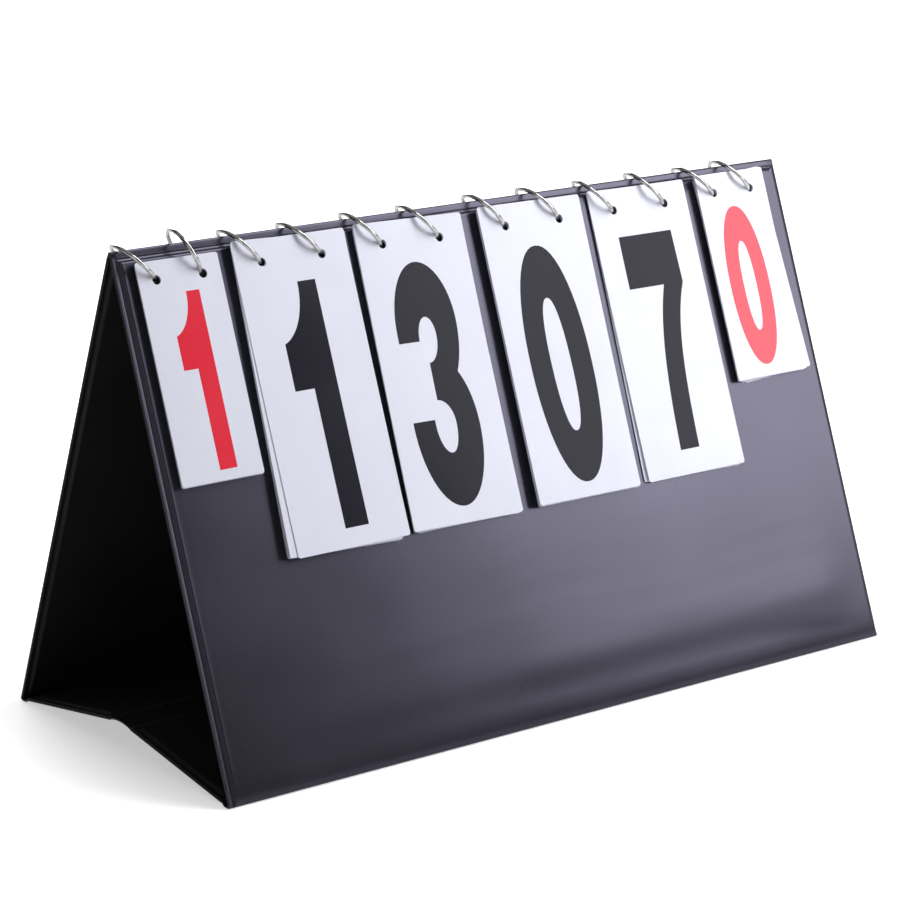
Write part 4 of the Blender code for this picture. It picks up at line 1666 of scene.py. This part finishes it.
@dataclass
class Scoreboard:
    """The whole scoreboard, built in order."""

    finishes: Finishes
    tent: TentShape = TentShape()
    hanging: Hanging = Hanging()
    small_count: int = 8

    def stacks(self) -> list[CardStack]:
        """The six stacks, from left to right."""
        n = Numeral
        return [
            CardStack(
                "home_set", LEFT_SMALL_CARD, -0.1608, 8, 1, (46, 28), n.ONE, n.TWO, n.TWO,
                PrintBox(0.0001, 0.0066, 0.0159, 0.0774), hole_line=0.0154, turned_numeral=n.ONE, curl=0.0,
            ),
            CardStack(
                "home_tens", LARGE_CARD, -0.1032, 10, 1, (45.2, 47.4), n.ONE, n.TWO, n.TWO,
                PrintBox(-0.0018, 0.0105, 0.0226, 0.1094), (-0.0048, -0.0044), 0.0, -0.0042,
                turned_numeral=n.ONE,
            ),
            CardStack(
                "home_units", LARGE_CARD, -0.0378, 10, 3, (45, 46), n.THREE, n.FOUR, n.FOUR,
                PrintBox(-0.0007, 0.0097, 0.0361, 0.1112), (-0.0002,), -0.0026, -0.0018,
                turned_numeral=n.THREE,
            ),
            CardStack(
                "guest_tens", LARGE_CARD, 0.0311, 10, 0, (43.8, 45.2), n.ZERO, n.ONE, n.ONE,
                PrintBox(-0.0006, 0.0108, 0.0354, 0.1109, 0.020), (), -0.0010, -0.0010,
            ),
            CardStack(
                "guest_units", LARGE_CARD, 0.0982, 10, 7, (46.4, 45), n.SEVEN, n.EIGHT, n.EIGHT,
                PrintBox(0.0001, 0.0130, 0.0331, 0.1036), (-0.0025,), -0.0004, hole_line=0.0145,
                turned_numeral=n.SEVEN,
            ),
            CardStack(
                "guest_set", RIGHT_SMALL_CARD, 0.1560, 8, 0, (48, 45), n.ZERO, n.ONE, n.ONE,
                PrintBox(-0.0015, 0.0076, 0.0250, 0.0780), (0.0048, 0.0020), hole_line=0.0134, curl=0.0,
            ),
        ]

    def boards(self, stacks: list[CardStack]) -> list[PaddedBoard]:
        """The two panels, drilled for the rings, and the two base flaps."""
        tent = self.tent
        low = tent.ridge_strip_leg + tent.seat_gap
        high = tent.panel_slant - tent.foot_strip_height - tent.seat_gap
        drop = float(self.hanging.wire_distance(0.0))
        holes = [
            (stack.middle + half * stack.kind.hole_spacing / 2, drop) for stack in stacks for half in (-1, 1)
        ]
        boards = []
        for side, name in ((-1, "front"), (1, "back")):
            boards.append(PaddedBoard(
                f"{name}_panel", f"{name}_panel", tent.panel_plane(side), low, high, low_flange=0.0012,
                holes=holes, wave=0.00012, slack=0.00055, seed=0.17 + 0.3 * side, over_foot=0.0022,
                flat_right=side < 0,
            ))
            boards.append(PaddedBoard(
                f"{name}_flap", f"{name}_flap", tent.flap_plane(side), 0.0, tent.flap_length,
                low_flange=0.0024, wave=0.00010, seed=0.61 - 0.2 * side,
            ))
        return boards

    def build(self) -> None:
        """Builds the boards, the hinges and the stacks."""
        stacks = self.stacks()
        for board in self.boards(stacks):
            board.build(self.finishes)
        Hinges(self.tent).build(self.finishes)
        for seed, stack in enumerate(stacks):
            ink = self.finishes.red_ink if stack.count == self.small_count else self.finishes.black_ink
            stack.build(self.finishes, ink, 20 + seed)


def main() -> None:
    """Builds the studio and the scoreboard."""
    logging.basicConfig(level=logging.INFO, format="%(name)s: %(message)s")
    Studio().build()
    Scoreboard(Finishes()).build()


if __name__ == "__main__":
    main()
